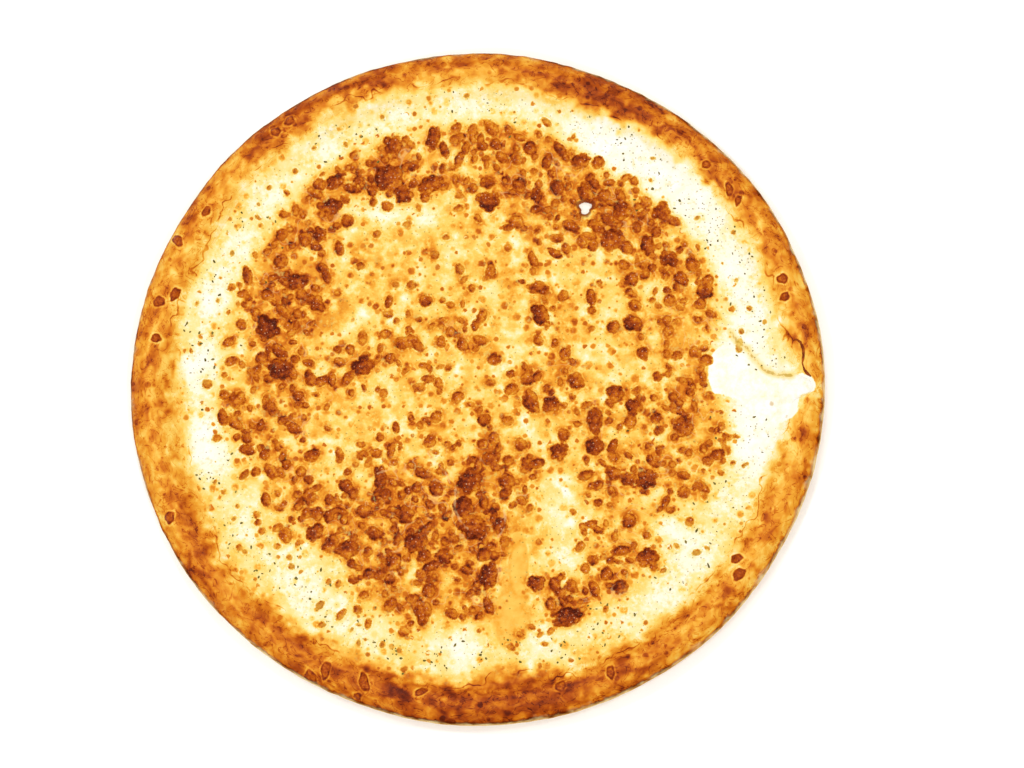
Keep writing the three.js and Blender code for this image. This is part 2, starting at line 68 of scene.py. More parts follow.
# Browned crumbs on the rim: x, y, length, width, turn in degrees
CRUMBS = [
    (-135, 42, 6.4, 3.8, 60), (-142, 38.5, 5.4, 4.6, 20), (-143, 22, 4.6, 4.0, 0),
    (-136, -58, 5.6, 4.6, 80), (-66, -125, 8.0, 4.0, 80), (-73, -128, 6.6, 5.2, 120),
    (-49, -130, 8.6, 4.2, 105), (-52, -136, 3.4, 3.0, 0), (-24, -134, 6.0, 3.0, 20),
    (37, -131, 5.0, 4.2, 40), (59, -125, 6.2, 3.6, 95), (115, -82, 6.4, 4.6, 45),
    (114, -75, 5.4, 4.0, 20), (112, 88, 6.4, 3.2, 100), (116, 83, 4.8, 2.8, 70), (135, 48, 5.0, 4.4, 0),
    (136, 40, 4.6, 3.8, 30), (-121, 79, 5.2, 3.2, 55), (-134, 66, 6.4, 4.2, 130),
    (-90, 115, 4.6, 4.0, 0), (-84, 120, 5.0, 3.8, 40), (102, 99, 4.0, 3.4, 0),
]
CRUMB_HEIGHT = 1.0

CHEESE_TOP = 9.2
CHEESE_EDGE = 134.5
EDGE_WANDER = 1.5
EDGE_SHIFT = 2.1
EDGE_SHIFT_ANGLE = 62.0
# How softly the level cheese meets the film of cheese that laps up the rim
MEET = 0.8
FILM = 1.5
LIP = 3.6
GAP = 0.3
EDGE_SINK = 0.25
# Where the edge runs over the rim: angle in degrees, reach, spread in degrees, sharpness
TONGUES = [(-2.4, 4.4, 7.0, 3.4), (-1.2, 8.4, 2.0, 3.0)]

# Largest blisters: x, y, r
LARGE_BLISTERS = [
    (-1, -62, 6.5), (-40, 95, 6.0), (-94, 27, 6.0), (60, 67, 5.5), (-4, -41, 5.5), (40, -101, 5.2),
    (5, -83, 5.0), (-21, 92, 5.0), (5, 84, 5.0), (-27, -68, 5.0), (-88, 9, 5.0), (-6, -52, 4.8),
    (-24, -99, 4.8), (-51, 10, 4.6), (-33, 87, 4.5), (-81, 48, 4.5), (-32, -56, 4.5), (52, -14, 4.5),
    (75, -40, 4.5), (75, -74, 4.5), (82, 79, 4.5), (64, 79, 4.5), (28, 33, 4.4), (69, 29, 4.4),
    (-38, 110, 4.2), (-20, 113, 4.2), (24, -6, 4.2), (33, -7, 4.2), (91, -17, 4.2), (-64, 93, 4.2),
    (-72, 38, 4.0), (-43, -39, 4.0), (27, 45, 4.0), (48, 88, 4.0), (46, 102, 4.0), (-108, -5, 4.0),
    (-65, 82, 4.0), (-72, -64, 4.0), (-57, -71, 4.0), (69, -8, 4.0), (36, -28, 4.0), (52, -26, 4.0),
    (6, -31, 4.0), (85, 58, 4.0), (26, -86, 3.9), (44, 3, 3.9), (61, -2, 3.9), (13, -41, 3.8),
    (76, 64, 3.8), (-75, -48, 3.8), (-65, -69, 3.6), (-37, -77, 3.6), (10, -61, 3.6), (-15, -74, 3.6),
    (101, 43, 3.4),
]
# Zones of stronger browning, and pale zones: x, y, spread, strength
BROWNED_ZONES = [
    (-42, 98, 20, 0.80), (-80, 80, 17, 1.00), (-82, 52, 17, 1.00), (-92, 28, 15, 0.40),
    (-86, 4, 18, 0.30), (-92, -22, 14, 0.30), (18, 108, 15, 1.10), (36, 93, 17, 1.15),
    (62, 80, 16, 0.55), (84, 62, 15, 0.80), (99, 35, 13, 0.50), (97, 8, 13, 0.30), (94, -18, 15, 0.35),
    (76, -42, 15, 0.50), (106, -42, 8, 0.20), (60, -60, 18, 0.05), (68, -84, 15, 0.45),
    (34, -94, 12, 0.65), (-2, -92, 15, 0.70), (-32, -90, 15, 0.20), (-52, -70, 15, 1.15),
    (-80, -55, 11, 0.60), (-8, -52, 19, 1.15), (-36, -50, 15, 0.75), (-60, -36, 12, 0.10),
    (12, -36, 13, 0.65), (36, -12, 18, 0.30), (58, -16, 15, 0.10), (66, 6, 15, -0.20),
    (36, 12, 13, 0.30), (-56, 6, 14, 0.35), (-14, 20, 16, 0.20), (-42, 66, 22, -0.70),
    (-6, 70, 17, -0.50), (-52, 38, 13, -0.40), (14, 28, 10, -0.50), (17, -92, 9, -1.30),
    (30, -68, 13, -0.70), (40, -44, 9, -0.50), (85, -66, 10, -0.80), (27, -20, 9, -0.60),
    (-74, -92, 19, -1.00), (112, 14, 9, -1.00), (66, 112, 14, -0.80), (-110, 70, 14, -0.80),
    (92, -92, 14, -0.80), (-8, -112, 16, -0.60), (-108, -45, 12, -0.60), (0, 84, 10, 0.35),
    (60, 56, 10, -0.50), (-20, 118, 9, 0.40), (-60, -18, 10, -0.30), (44, -78, 9, -0.40),
]
RING_RADIUS = 90.0
RING_WIDTH = 20.0
RING_BROWNING = 0.2
BASE_BROWNING = 0.3
BLISTER_LIMIT = 116.0
BLISTER_TRIES = 3000
BLISTER_SEED = 31
MIN_BLISTER = 1.2
BLISTER_RANGE = 2.5
STRAYS = 70
STRAY_SEED = 12
STRAY_INNER = 104.0
STRAY_OUTER = 131.0
RAISED_BLISTERS = 300

POOL_X, POOL_Y, POOL_RADIUS = 119.0, 5.0, 15.0
LOBE_X, LOBE_Y, LOBE_HALF_WIDTH, LOBE_HALF_LENGTH, LOBE_HEIGHT = 18.3, -94.9, 7.0, 19.0, 1.0
PIT_X, PIT_Y, PIT_RADIUS, PIT_DEPTH = 49.3, 78.7, 3.2, 1.8

FLECKS = 64
FLECK_SEED = 77
FLECK_INNER = 104.0
FLECK_OUTER = 126.0

# --- finer shapes, which the solids leave out
CHEESE_RINGS = 172
CRUST_STEPS = 1020
CRUST_RINGS = 84
# Blisters from this radius are clumps of lumps
LOBED_FROM = 3.2
SHAPE_SEED = 404
# Small blisters at the edge of the milky pool, then on the pale cheese of the upper left: x, y, r
SMALL_BLISTERS = [
    (115.6, 17.3, 1.3), (115.8, 20.2, 1.6), (113.9, -21.0, 1.2), (111.2, -21.6, 1.2), (109, -22, 1.2),
    (108.4, -24.2, 1.2), (109.2, -26.4, 1.2), (110.8, -27.6, 1.1), (-52.5, 55, 1.7), (-45, 69.5, 1.6),
    (-31.5, 74, 1.5), (-19, 60, 1.8), (-8, 53.5, 2.1), (-29.5, 46.5, 2.0), (-36.5, 46.5, 1.3),
    (-39.5, 39, 2.1), (-15.5, 39.5, 1.3), (-12, 37.5, 1.6), (-14, 68, 1.2), (-2.5, 45, 1.5),
    (2.5, 33.5, 1.6), (-31, 33.5, 1.2), (-26, 31, 1.2), (-20.5, 28, 1.3), (-12, 25.5, 2.0),
    (-7.5, 30.5, 1.4), (-5.5, 26.5, 1.2), (-30.5, 26.5, 1.5), (-30.5, 20.5, 1.5), (-16.5, 22, 1.6),
    (-0.5, 18, 1.3), (-8.5, 81, 1.8), (-2, 90, 2.0), (0, 76.5, 1.6),
]
# Clusters of fine herb flecks: x, y, spread
FLECK_CLUSTERS = [
    (-125, -40, 6), (-117, -40, 4), (-126, 3, 6), (-128, 24, 6), (-118, 52, 7), (-108, 75, 5),
    (-84, 108, 7), (-70, 118, 8), (-52, 118, 7), (-12, 134, 7), (8, 128, 6), (48, 118, 10),
    (58, 112, 8), (70, 112, 9), (84, 108, 8), (94, 80, 7), (104, 78, 6), (113, 74, 6), (118, 60, 5),
    (124, 48, 9), (126, 36, 8), (124, 20, 9), (130, 14, 6), (126, -20, 8), (130, -28, 5), (122, -52, 8),
    (108, -48, 8), (104, -84, 8), (90, -90, 6), (96, -94, 5), (60, -112, 10), (48, -116, 8),
    (40, -114, 9), (52, -98, 8), (2, -118, 6), (-18, -120, 6), (-34, -121, 7), (-40, -114, 6),
    (-66, -104, 8), (-80, -84, 10), (-94, -82, 8), (-105, -74, 7), (-98, -58, 7), (-116, -58, 6),
    (106, 68, 5), (100, -60, 8), (66, -20, 6), (14, -112, 6),
]
FINE_FLECK_SEED = 909
FLAKE_SEED = 515
# Run of the dried skin: x, y, half width
SKIN_PATH = [
    (139.2, 20.6, 0.2), (140.8, 21.2, 0.4), (142.6, 20.0, 0.6), (143.9, 16.8, 0.65),
    (143.9, 13.8, 0.65), (143.4, 10.8, 0.5), (144.2, 7.8, 0.6), (145.6, 6.0, 0.7), (147.0, 4.8, 0.35),
]
# Lines in the cheese: the crack beside the tongue, short folds, and a broad soft seam
CRACK = [
    (112.1, 24.9), (115.2, 20.9), (119.2, 18.2), (121.4, 14.2), (124, 11.6), (126.3, 8.5), (132, 5.9),
    (138.7, 5.4),
]
FOLDS = [
    [(-22, -29), (-18, -33), (-14, -37), (-12, -42)],
    [(-11, -38), (-9.5, -44), (-10, -52), (-8, -58), (-4, -62)],
    [(11, -52), (12.5, -57), (12, -62), (9, -66)],
    [(-38, -30), (-39, -36), (-44, -38)],
]
SEAM = [(10, 0), (17, -12), (28, -27), (36, -42), (48, -58), (64, -75)]

# --- places of colour, read off the pie
# Edge of the milky pool and of the tongue it ends in
POOL_EDGE = [
    (105, 16.9), (108.6, 19.6), (112.5, 18.4), (115.6, 16), (121.2, 11.4), (125.8, 6.9), (130.7, 4.3),
    (138.7, 4.9), (143.2, 6.3), (147.2, 5), (149.2, 1.6), (148.6, -1.3), (145.5, -2.7), (142.2, -3.5),
    (141.3, -6.5), (141.5, -10.5), (138.7, -13.2), (133.3, -15.6), (125.4, -17), (118.2, -11),
    (115.8, -5.2), (109.9, -3), (104.1, -2.1), (101.9, 4.5), (102.4, 12.5),
]
# Golden colour of the smooth lobe, two ovals: x, y, half width, half length
GOLDEN_LOBE = [(16.2, -102.5, 8.0, 14.0), (19.5, -81.0, 4.6, 15.0)]
# Milky white cheese: x, y, spread, strength
MILKY = [
    (50, 113, 14, 0.95), (68, 106, 14, 1.15), (86, 93, 15, 1.3), (103, 80, 13, 1.2), (116, 55, 13, 1.1),
    (119, 25, 11, 1.2), (121, 36, 9, 0.8), (112, 9, 10, 1.3), (128, 2, 14, 1.3), (126, -20, 11, 1.2),
    (121, -12, 9, 1.1), (132, -12, 7, 0.9), (124, -33, 13, 1.1), (112, -52, 9, 0.6),
    (99, -75, 12, 0.95), (84, -95, 11, 0.9), (-120, 40, 11, 1.05), (-125, 9, 12, 1.25),
    (-121, -29, 12, 1.1), (-121, -17, 9, 0.6), (-110, 62, 12, 0.7), (-95, 88, 12, 0.8),
    (-70, 112, 12, 0.8), (-38, 124, 12, 0.7), (-5, 129, 12, 0.7), (24, 128, 12, 0.5),
    (60, 116, 12, 0.8), (-78, -76, 14, 0.65), (-76, -96, 14, 0.55), (-52, -108, 12, 0.6),
    (-6, -113, 9, 0.9), (-100, -60, 12, 0.6), (28, -112, 10, 0.5), (29, -107, 5, 0.9),
    (64, -104, 9, 0.45), (-42, 81, 8, 1.5), (-58, 82, 7, 0.9), (-24, 77, 7, 1.2), (-9, 67, 6, 0.6),
    (22, 103, 6, 0.9), (3, 100, 5, 0.8), (90, 60, 5, 0.6), (80, 43, 7, 1.1), (62, 39, 5, 0.6),
    (80, 62, 6, 0.9), (40, 62, 8, 0.5), (-40, -62, 7, 0.4), (99, 38, 6, 0.5), (99, 21, 6, 0.5),
    (44, 15, 5, 0.5), (43, -9, 5, 0.5), (68, -22, 5, 0.4), (88, -47, 5, 0.5), (40, -74, 9, 0.9),
    (84, -61, 8, 1.0), (36, -54, 8, 0.8), (-60, -30, 8, 0.3), (-81, -57, 7, 0.6), (-60, -78, 6, 0.6),
    (-43, 3, 7, 0.6), (-23, 4, 7, 0.5), (6, 43, 6, 0.6), (-21, 37, 6, 0.5), (-46, 21, 5, 0.5),
    (-70, 63, 5, 0.5), (-104, 30, 6, 0.4),
]
# Smooth buttery yellow: x, y, spread, strength
BUTTERY = [
    (-65, 34, 11, 0.9), (-47, 56, 13, 0.9), (-28, 68, 11, 0.9), (-3, 67, 10, 1.0), (13, 50, 9, 0.8),
    (13, 28, 8, 0.7), (40, 36, 8, 0.6), (17, -93, 8, 1.6), (16, -108, 6, 1.1), (24, -68, 8, 0.9),
    (84, -32, 8, 0.6), (-30, 40, 9, 0.6), (-56, -24, 8, 0.4), (97, 1, 6, 0.5), (20, 64, 8, 0.5),
    (-21, -38, 9, 0.6), (0, -18, 8, 0.6), (-61, -38, 7, 0.5), (58, -2, 13, 0.6), (77, 0, 9, 0.5),
    (2, -34, 11, 0.5),
]
# Deeper baking of the rim: angle in degrees, spread, strength
BAKED_ARCS = [
    (124, 14, 0.85), (106, 8, 0.7), (73, 15, 0.75), (58, 9, 0.75), (47, 7, 0.2), (36, 8, 0.6),
    (-38, 8, 0.15), (-57, 9, 0.35), (-74, 12, 0.95), (-100, 16, 1.1), (-122, 10, 0.6), (-140, 12, 0.2),
    (-153, 8, 0.35), (-167, 7, -0.3), (178, 8, 0.15), (90, 9, -0.1),
]
# How far the rim's colour reaches in over the cheese: angle in degrees, spread, mm
BORDER_SHIFTS = [
    (-84, 6, 8.5), (60, 7, 3.0), (72, 7, 3.5), (-108, 7, 3.0), (-168, 7, 3.0), (-132, 7, 3.5),
    (-70, 5, -3.5), (144, 9, -3.5), (120, 8, -2.0), (24, 6, 2.0),
]

# --- colours
LIGHT_LEVEL = 1.2
# Colours of cheese and dough from raw to burnt
BAKING = [
    (0.00, (253, 251, 244)), (0.14, (252, 244, 215)), (0.28, (252, 229, 154)), (0.42, (249, 205, 94)),
    (0.55, (240, 166, 48)), (0.67, (218, 122, 18)), (0.80, (175, 74, 0)), (0.92, (124, 40, 0)),
    (1.00, (82, 20, 0)),
]
# Colours of the floured side and underside from pale to toasted
FLOURED = [
    (0.00, (250, 228, 178)), (0.30, (244, 210, 144)), (0.50, (234, 182, 100)), (0.70, (214, 142, 56)),
    (0.85, (180, 100, 30)), (1.00, (128, 62, 16)),
]

# --- camera, light and ground, in metres, degrees and pixels of the picture
CAMERA_ELEVATION = 81.0
CAMERA_AZIMUTH = 35.0
CAMERA_DISTANCE = 1.6
CAMERA_TARGET = (0.0, 0.0, 0.0085)
CAMERA_LENS = 127.2
SENSOR = 36.0
PHOTO_WIDTH, PHOTO_HEIGHT = 1024, 768
PIE_CENTRE = (474.5, 385.2)
LAMP_ANGLES = (20, 92, 150, 222, 300)
LAMP_RADIUS = 0.8
LAMP_HEIGHT = 1.35
LAMP_SIZE = 0.16
LAMP_POWER = 3.4
SKY_STRENGTH = 0.75
GROUND_HALF = 4.0
GROUND_DROP = 0.0004


# --- shapes shared with the solids
def seeded(seed):
    """Seeded stream of numbers between 0 and 1."""
    state = seed
    mask = 0xFFFFFFFF

    def draw():
        nonlocal state
        state = (state + 0x6D2B79F5) & mask
        t = state
        t = ((t ^ (t >> 15)) * (t | 1)) & mask
        t = (t ^ (t + ((t ^ (t >> 7)) * (t | 61)))) & mask
        return (t ^ (t >> 14)) / 4294967296.0

    return draw


def ripple(x, y, wave, seed):
    """Smooth unevenness between -1 and 1 with features about wave mm apart."""
    total = 0.0
    for k in range(4):
        turn = seed * 1.7 + k * 2.4
        along = x * math.cos(turn) + y * math.sin(turn)
        total = total + np.sin(along * TAU / (wave * (1 + 0.23 * k)) + seed * 3.1 + k * 1.3)
    return total / 4


def bell(distance, width):
    """Soft bump: 1 at its middle and about a third at its width."""
    return np.exp(-((distance / width) ** 2))


def smoothstep(low, high, value):
    """0 at low, 1 at high and smooth between them."""
    t = np.clip((value - low) / (high - low), 0, 1)
    return t * t * (3 - 2 * t)


def polar(radius, angle):
    """x and y at a radius and an angle."""
    return radius * np.cos(angle), radius * np.sin(angle)


def turned(x, y, angle):
    """x and y measured along and across a direction."""
    return x * math.cos(angle) + y * math.sin(angle), y * math.cos(angle) - x * math.sin(angle)


def seat(x, y, *sizes):
    """Moves a listed feature to its place on the pie."""
    return (x + SEAT_X, y + SEAT_Y + SEAT_TILT * x, *sizes)


def angle_between(a, b):
    """Absolute difference of two angles in degrees."""
    return np.abs((a - b + 540.0) % 360.0 - 180.0)


def outline(angle):
    """Radius of the pie at an angle."""
    oval = OVAL_X * np.cos(2 * angle) + OVAL_XY * np.sin(2 * angle)
    uneven = np.sin(4 * angle + 0.6) + 0.6 * np.sin(8 * angle + 2.1) + 0.4 * np.sin(14 * angle)
    return MEAN_RADIUS + oval + OUTLINE_RIPPLE * uneven


def rim_relief(angle, distance):
    """Height that lumps and bubbles add to the rim."""
    x, y = polar(MEAN_RADIUS, angle)
    height = RIM_LUMP * ripple(x, y, 46, 2) + 0.35 * ripple(x, y, 19, 5)
    for degrees, rise, width in RIM_BUBBLES:
        arc = np.radians(angle_between(np.degrees(angle), degrees)) * MEAN_RADIUS
        height = height + rise * bell(arc, width)
    return height * bell(distance - CROWN_DISTANCE, 7.5)


def dough_top(x, y):
    """Height of the top of the base."""
    angle = np.arctan2(y, x)
    distance = outline(angle) - np.hypot(x, y)
    inner = SECTION[:8]
    listed, heights = np.array(inner[::-1]).T
    height = np.interp(distance, listed, heights)
    return np.where(distance >= inner[0][0], FLOOR_TOP, height + rim_relief(angle, distance))


def cheese_edge(angle):
    """Radius of the cheese's edge at an angle."""
    wander = 0.6 * np.sin(3 * angle + 1) + 0.5 * np.sin(7 * angle) + 0.5 * np.sin(13 * angle + 2)
    edge = CHEESE_EDGE + EDGE_SHIFT * np.cos(angle - math.radians(EDGE_SHIFT_ANGLE))
    edge = edge + EDGE_WANDER * wander
    for middle, reach, spread, sharpness in TONGUES:
        off = angle_between(np.degrees(angle), middle) / spread
        edge = edge + reach * np.exp(-(off ** sharpness))
    return edge


def patches(x, y, table):
    """Sum of soft round patches listed as x, y, spread, strength."""
    total = 0.0
    for px, py, spread, strength in (seat(*patch) for patch in table):
        total = total + strength * bell(np.hypot(x - px, y - py), spread)
    return total


def arcs(angle, table):
    """Sum of soft bumps along the rim listed as angle in degrees, spread, strength."""
    degrees = np.degrees(angle)
    return sum(strength * bell(angle_between(degrees, middle), spread) for middle, spread, strength in table)


def browning(x, y):
    """How strongly the cheese has browned at a point, 0 to 1."""
    ring = RING_BROWNING * bell(np.hypot(x, y) - RING_RADIUS, RING_WIDTH)
    return np.clip(BASE_BROWNING + ring + patches(x, y, BROWNED_ZONES), 0, 1)


def clear(placed, x, y, room, share=1.0):
    """Whether a point is more than a share of each placed radius, and some room, away."""
    return all(math.hypot(p[0] - x, p[1] - y) > share * p[2] + room for p in placed)


def out_of_pool(x, y):
    """Whether a point is off the milky pool."""
    return math.hypot(POOL_X - x, POOL_Y - y) > POOL_RADIUS


def place_blisters():
    """Every blister as (x, y, r), largest first."""
    placed = [seat(*blister) for blister in LARGE_BLISTERS]
    draw = seeded(BLISTER_SEED)
    for _ in range(BLISTER_TRIES):
        radius = BLISTER_LIMIT * math.sqrt(draw())
        x, y = polar(radius, TAU * draw())
        size = draw()
        luck = draw()
        strength = float(browning(x, y))
        r = MIN_BLISTER + BLISTER_RANGE * (0.55 + 0.45 * strength) * size ** 1.9
        free = clear(placed, x, y, 0.84 * r, share=0.84)
        out_of_pit = math.hypot(PIT_X - x, PIT_Y - y) > PIT_RADIUS + 1
        if luck < strength ** 1.5 and free and out_of_pit and out_of_pool(x, y):
            placed.append((x, y, r))
    place_strays(placed)
    return sorted(placed, key=lambda b: -b[2])


def place_strays(placed):
    """Adds the single blisters of the milky band."""
    draw = seeded(STRAY_SEED)
    wanted = len(placed) + STRAYS
    while len(placed) < wanted:
        angle = TAU * draw()
        x, y = polar(STRAY_INNER + (STRAY_OUTER - STRAY_INNER) * draw(), angle)
        r = 0.8 + 1.4 * draw() ** 2
        if clear(placed, x, y, r + 0.8) and out_of_pool(x, y):
            placed.append((x, y, r))


def lobe_rise(x, y):
    """Height of the smooth lobe above the cheese round it."""
    square = ((x - LOBE_X) / LOBE_HALF_WIDTH) ** 2 + ((y - LOBE_Y) / LOBE_HALF_LENGTH) ** 2
    return np.where(square < 1, LOBE_HEIGHT * (1 - np.clip(square, 0, 1) ** 1.5), 0)


def plain_cheese(x, y):
    """Height of the cheese without its blisters."""
    inside = cheese_edge(np.arctan2(y, x)) - np.hypot(x, y)
    dough = dough_top(x, y)
    level = CHEESE_TOP + 0.3 * ripple(x, y, 58, 1) + 0.22 * ripple(x, y, 24, 4)
    full = MEET * np.log(np.exp(level / MEET) + np.exp((dough + FILM) / MEET))
    rounding = np.clip(inside / LIP, 0, 1) ** 0.7
    return dough + (full - dough) * rounding


# --- mesh helpers
def make_mesh(name, points, faces, smooth=True):
    """Mesh object from points in mm and a list of triangle or quad arrays."""
    mesh = bpy.data.meshes.new(name)
    mesh.from_pydata(points * MM, [], [face for block in faces for face in block.tolist()])
    mesh.polygons.foreach_set("use_smooth", np.full(len(mesh.polygons), smooth))
    mesh.validate()
    piece = bpy.data.objects.new(name, mesh)
    bpy.context.scene.collection.objects.link(piece)
    return piece


def ring_bands(starts, count):
    """Quads between rings of points that begin at the places given."""
    k = np.arange(count)
    n = (k + 1) % count
    return [np.stack([a + k, b + k, b + n, a + n], axis=1) for a, b in zip(starts[:-1], starts[1:])]


def fan(start, count, tip, up):
    """Triangles between a ring of points and one tip, facing up or down."""
    k = start + np.arange(count)
    n = start + (np.arange(count) + 1) % count
    tips = np.full(count, tip)
    return np.stack([tips, k, n] if up else [k, tips, n], axis=1)


def tube_faces(start, rings, sides):
    """Triangles of a closed tube: rings of points, then the middle of its first and last end."""
    faces = []
    tip = start + rings * sides
    last = tip - sides
    for k in range(sides):
        n = (k + 1) % sides
        faces.append((tip, start + n, start + k))
        faces.append((tip + 1, last + k, last + n))
        for ring in range(start, last, sides):
            faces.append((ring + k, ring + n, ring + sides + n))
            faces.append((ring + k, ring + sides + n, ring + sides + k))
    return faces


def crease(piece, first, last):
    """Keeps the shading apart across the edges whose two ends are in a range of points."""
    ends = np.empty(2 * len(piece.data.edges), dtype=np.int32)
    piece.data.edges.foreach_get("vertices", ends)
    ends = ends.reshape(-1, 2)
    sharp = ((ends >= first) & (ends < last)).all(axis=1)
    piece.data.edges.foreach_set("use_edge_sharp", sharp)


def add_fields(piece, **fields):
    """Per-vertex numbers or vectors that the material reads; points past their end take zeros."""
    for name, values in fields.items():
        full = np.zeros((len(piece.data.vertices), *values.shape[1:]), dtype=np.float32)
        full[:len(values)] = values
        kind, slot = ("FLOAT", "value") if values.ndim == 1 else ("FLOAT_VECTOR", "vector")
        attribute = piece.data.attributes.new(name, kind, "POINT")
        attribute.data.foreach_set(slot, full.ravel())


# --- fields that the materials read
def distance_to_line(x, y, points):
    """Distance in mm to a polyline."""
    best = np.full_like(x, 99.0)
    points = [seat(*point) for point in points]
    for (x0, y0), (x1, y1) in zip(points[:-1], points[1:]):
        ux, uy = x1 - x0, y1 - y0
        t = np.clip(((x - x0) * ux + (y - y0) * uy) / (ux * ux + uy * uy), 0, 1)
        best = np.minimum(best, np.hypot(x - x0 - t * ux, y - y0 - t * uy))
    return best


def inside_loop(x, y, points):
    """Depth in mm inside a closed loop, negative outside it."""
    loop = [seat(*point) for point in points]
    within = np.zeros(x.shape, dtype=bool)
    for (x0, y0), (x1, y1) in zip(loop, loop[1:] + loop[:1]):
        crosses = (y0 > y) != (y1 > y)
        along = x0 + (y - y0) * (x1 - x0) / (y1 - y0 if y1 != y0 else 1)
        within ^= crosses & (x < along)
    distance = distance_to_line(x, y, points + points[:1])
    return np.clip(np.where(within, distance, -distance), -9, 9)


def milkiness(x, y):
    """How milky the cheese is: listed patches and a faint band along its edge."""
    middle = 121 + 2.6 * np.cos(np.arctan2(y, x) - 1.4)
    band = bell(np.hypot(x, y) - middle, 9.0)
    return np.clip(0.62 * patches(x, y, MILKY) + 0.26 * band, 0, 1.6)


def rim_bake(angle):
    """How deeply the rim is baked at an angle."""
    return np.clip(arcs(angle, BAKED_ARCS), -0.6, 1.2)


def streak_space(angle, distance):
    """Coordinates for noise that runs along the rim."""
    return np.stack([*polar(MEAN_RADIUS, angle), 1.7 * distance], axis=1)


# --- cheese
def disc_points(rings):
    """Evenly spaced points of a disc, as share of its radius and angle: ring i holds 6 i points."""
    ring = np.concatenate([[0], *[np.full(6 * i, i) for i in range(1, rings + 1)]])
    step = np.concatenate([[0], *[np.arange(6 * i) for i in range(1, rings + 1)]])
    return ring / rings, TAU * step / np.maximum(6 * ring, 1)


def disc_faces(rings):
    """Triangles between the rings of disc_points."""
    faces = []
    for i in range(1, rings + 1):
        outer = 1 + 3 * i * (i - 1)
        inner = 1 + 3 * (i - 1) * (i - 2) if i > 1 else 0
        n_out = 6 * i
        n_in = max(6 * (i - 1), 1)
        sector, k = np.divmod(np.arange(n_out), i)
        a = outer + sector * i + k
        b = outer + (sector * i + k + 1) % n_out
        c = inner + (sector * (i - 1) + k) % n_in
        faces.append(np.stack([a, b, c], axis=1))
        if i > 1:
            sector, k = np.divmod(np.arange(n_in), i - 1)
            a = outer + (sector * i + k + 1) % n_out
            b = inner + (sector * (i - 1) + k + 1) % n_in
            c = inner + sector * (i - 1) + k
            faces.append(np.stack([a, b, c], axis=1))
    return np.concatenate(faces)


def blister_fields(x, y, blisters):
    """Rise in mm, distance inside the nearest blister's edge, and its darkness and size."""
    rise = np.zeros_like(x)
    inside = np.full_like(x, -6.0)
    char = np.zeros_like(x)
    size = np.ones_like(x)
    draw = seeded(SHAPE_SEED)
    for bx, by, r in blisters:
        stretch = math.sqrt(1.0 + 0.9 * draw() ** 1.7)
        turn = math.pi * draw()
        phase = TAU * draw()
        tone = draw()
        reach = 1.7 * r + 4.5
        near = np.flatnonzero((np.abs(x - bx) < reach) & (np.abs(y - by) < reach))
        u, v = turned(x[near] - bx, y[near] - by, turn)
        u, v = u / stretch, v * stretch
        if r >= LOBED_FROM:
            depth, patch = lobed(u, v, r, draw)
            t = np.clip(1 - depth / (0.75 * r), 0, 1)
        else:
            around = np.arctan2(v, u)
            ragged = 1 + 0.07 * np.sin(2 * around + phase) + 0.05 * np.sin(3 * around + 2.3 * phase)
            edge = r * (ragged + 0.03 * np.sin(5 * around + 4 * phase))
            distance = np.hypot(u, v)
            depth, patch = edge - distance, 0.0
            t = np.clip(distance / edge, 0, 1)
        bump = (0.35 + 0.26 * r) * (1 - t ** 2.4)
        if r > 2.4:
            wrinkle = ripple(x[near], y[near], 2.6, bx * 0.37) * ripple(x[near], y[near], 3.9, by * 0.31)
            bump = bump * (1 + 0.35 * wrinkle * (1 - t ** 4))
        rise[near] = np.maximum(rise[near], bump * (t < 1))
        patch = np.where(depth > 0, 0.55 * v / r + patch, 0)
        stray = math.hypot(bx, by) > BLISTER_LIMIT - 6
        dark = 0.1 + 0.5 * tone + 0.25 * float(browning(bx, by)) + 0.12 * min(r - 2.5, 2.5)
        dark = 0.6 * dark if stray and r < 2.5 else dark
        closer = depth > inside[near]
        chosen = near[closer]
        inside[chosen] = depth[closer]
        char[chosen] = dark + patch[closer]
        size[chosen] = r
    return rise, inside, np.clip(char, 0, 1.2), size


def lobed(u, v, r, draw):
    """A large blister as a clump of lumps: distance inside its edge, and the lumps' tone."""
    depth = 0.74 * r - np.hypot(u, v)
    tone = np.full_like(u, 0.1)
    start = TAU * draw()
    lumps = 5 + int(3 * draw())
    for k in range(lumps):
        angle = start + TAU * (k + 0.5 * draw()) / lumps
        out_x, out_y = polar(r * (0.52 + 0.22 * draw()), angle)
        size = r * (0.26 + 0.22 * draw())
        shade = 0.5 * (draw() - 0.62)
        lump = size - np.hypot(u - out_x, v - out_y)
        tone = np.where(lump > depth, shade, tone)
        depth = np.maximum(depth, lump)
    return depth, tone


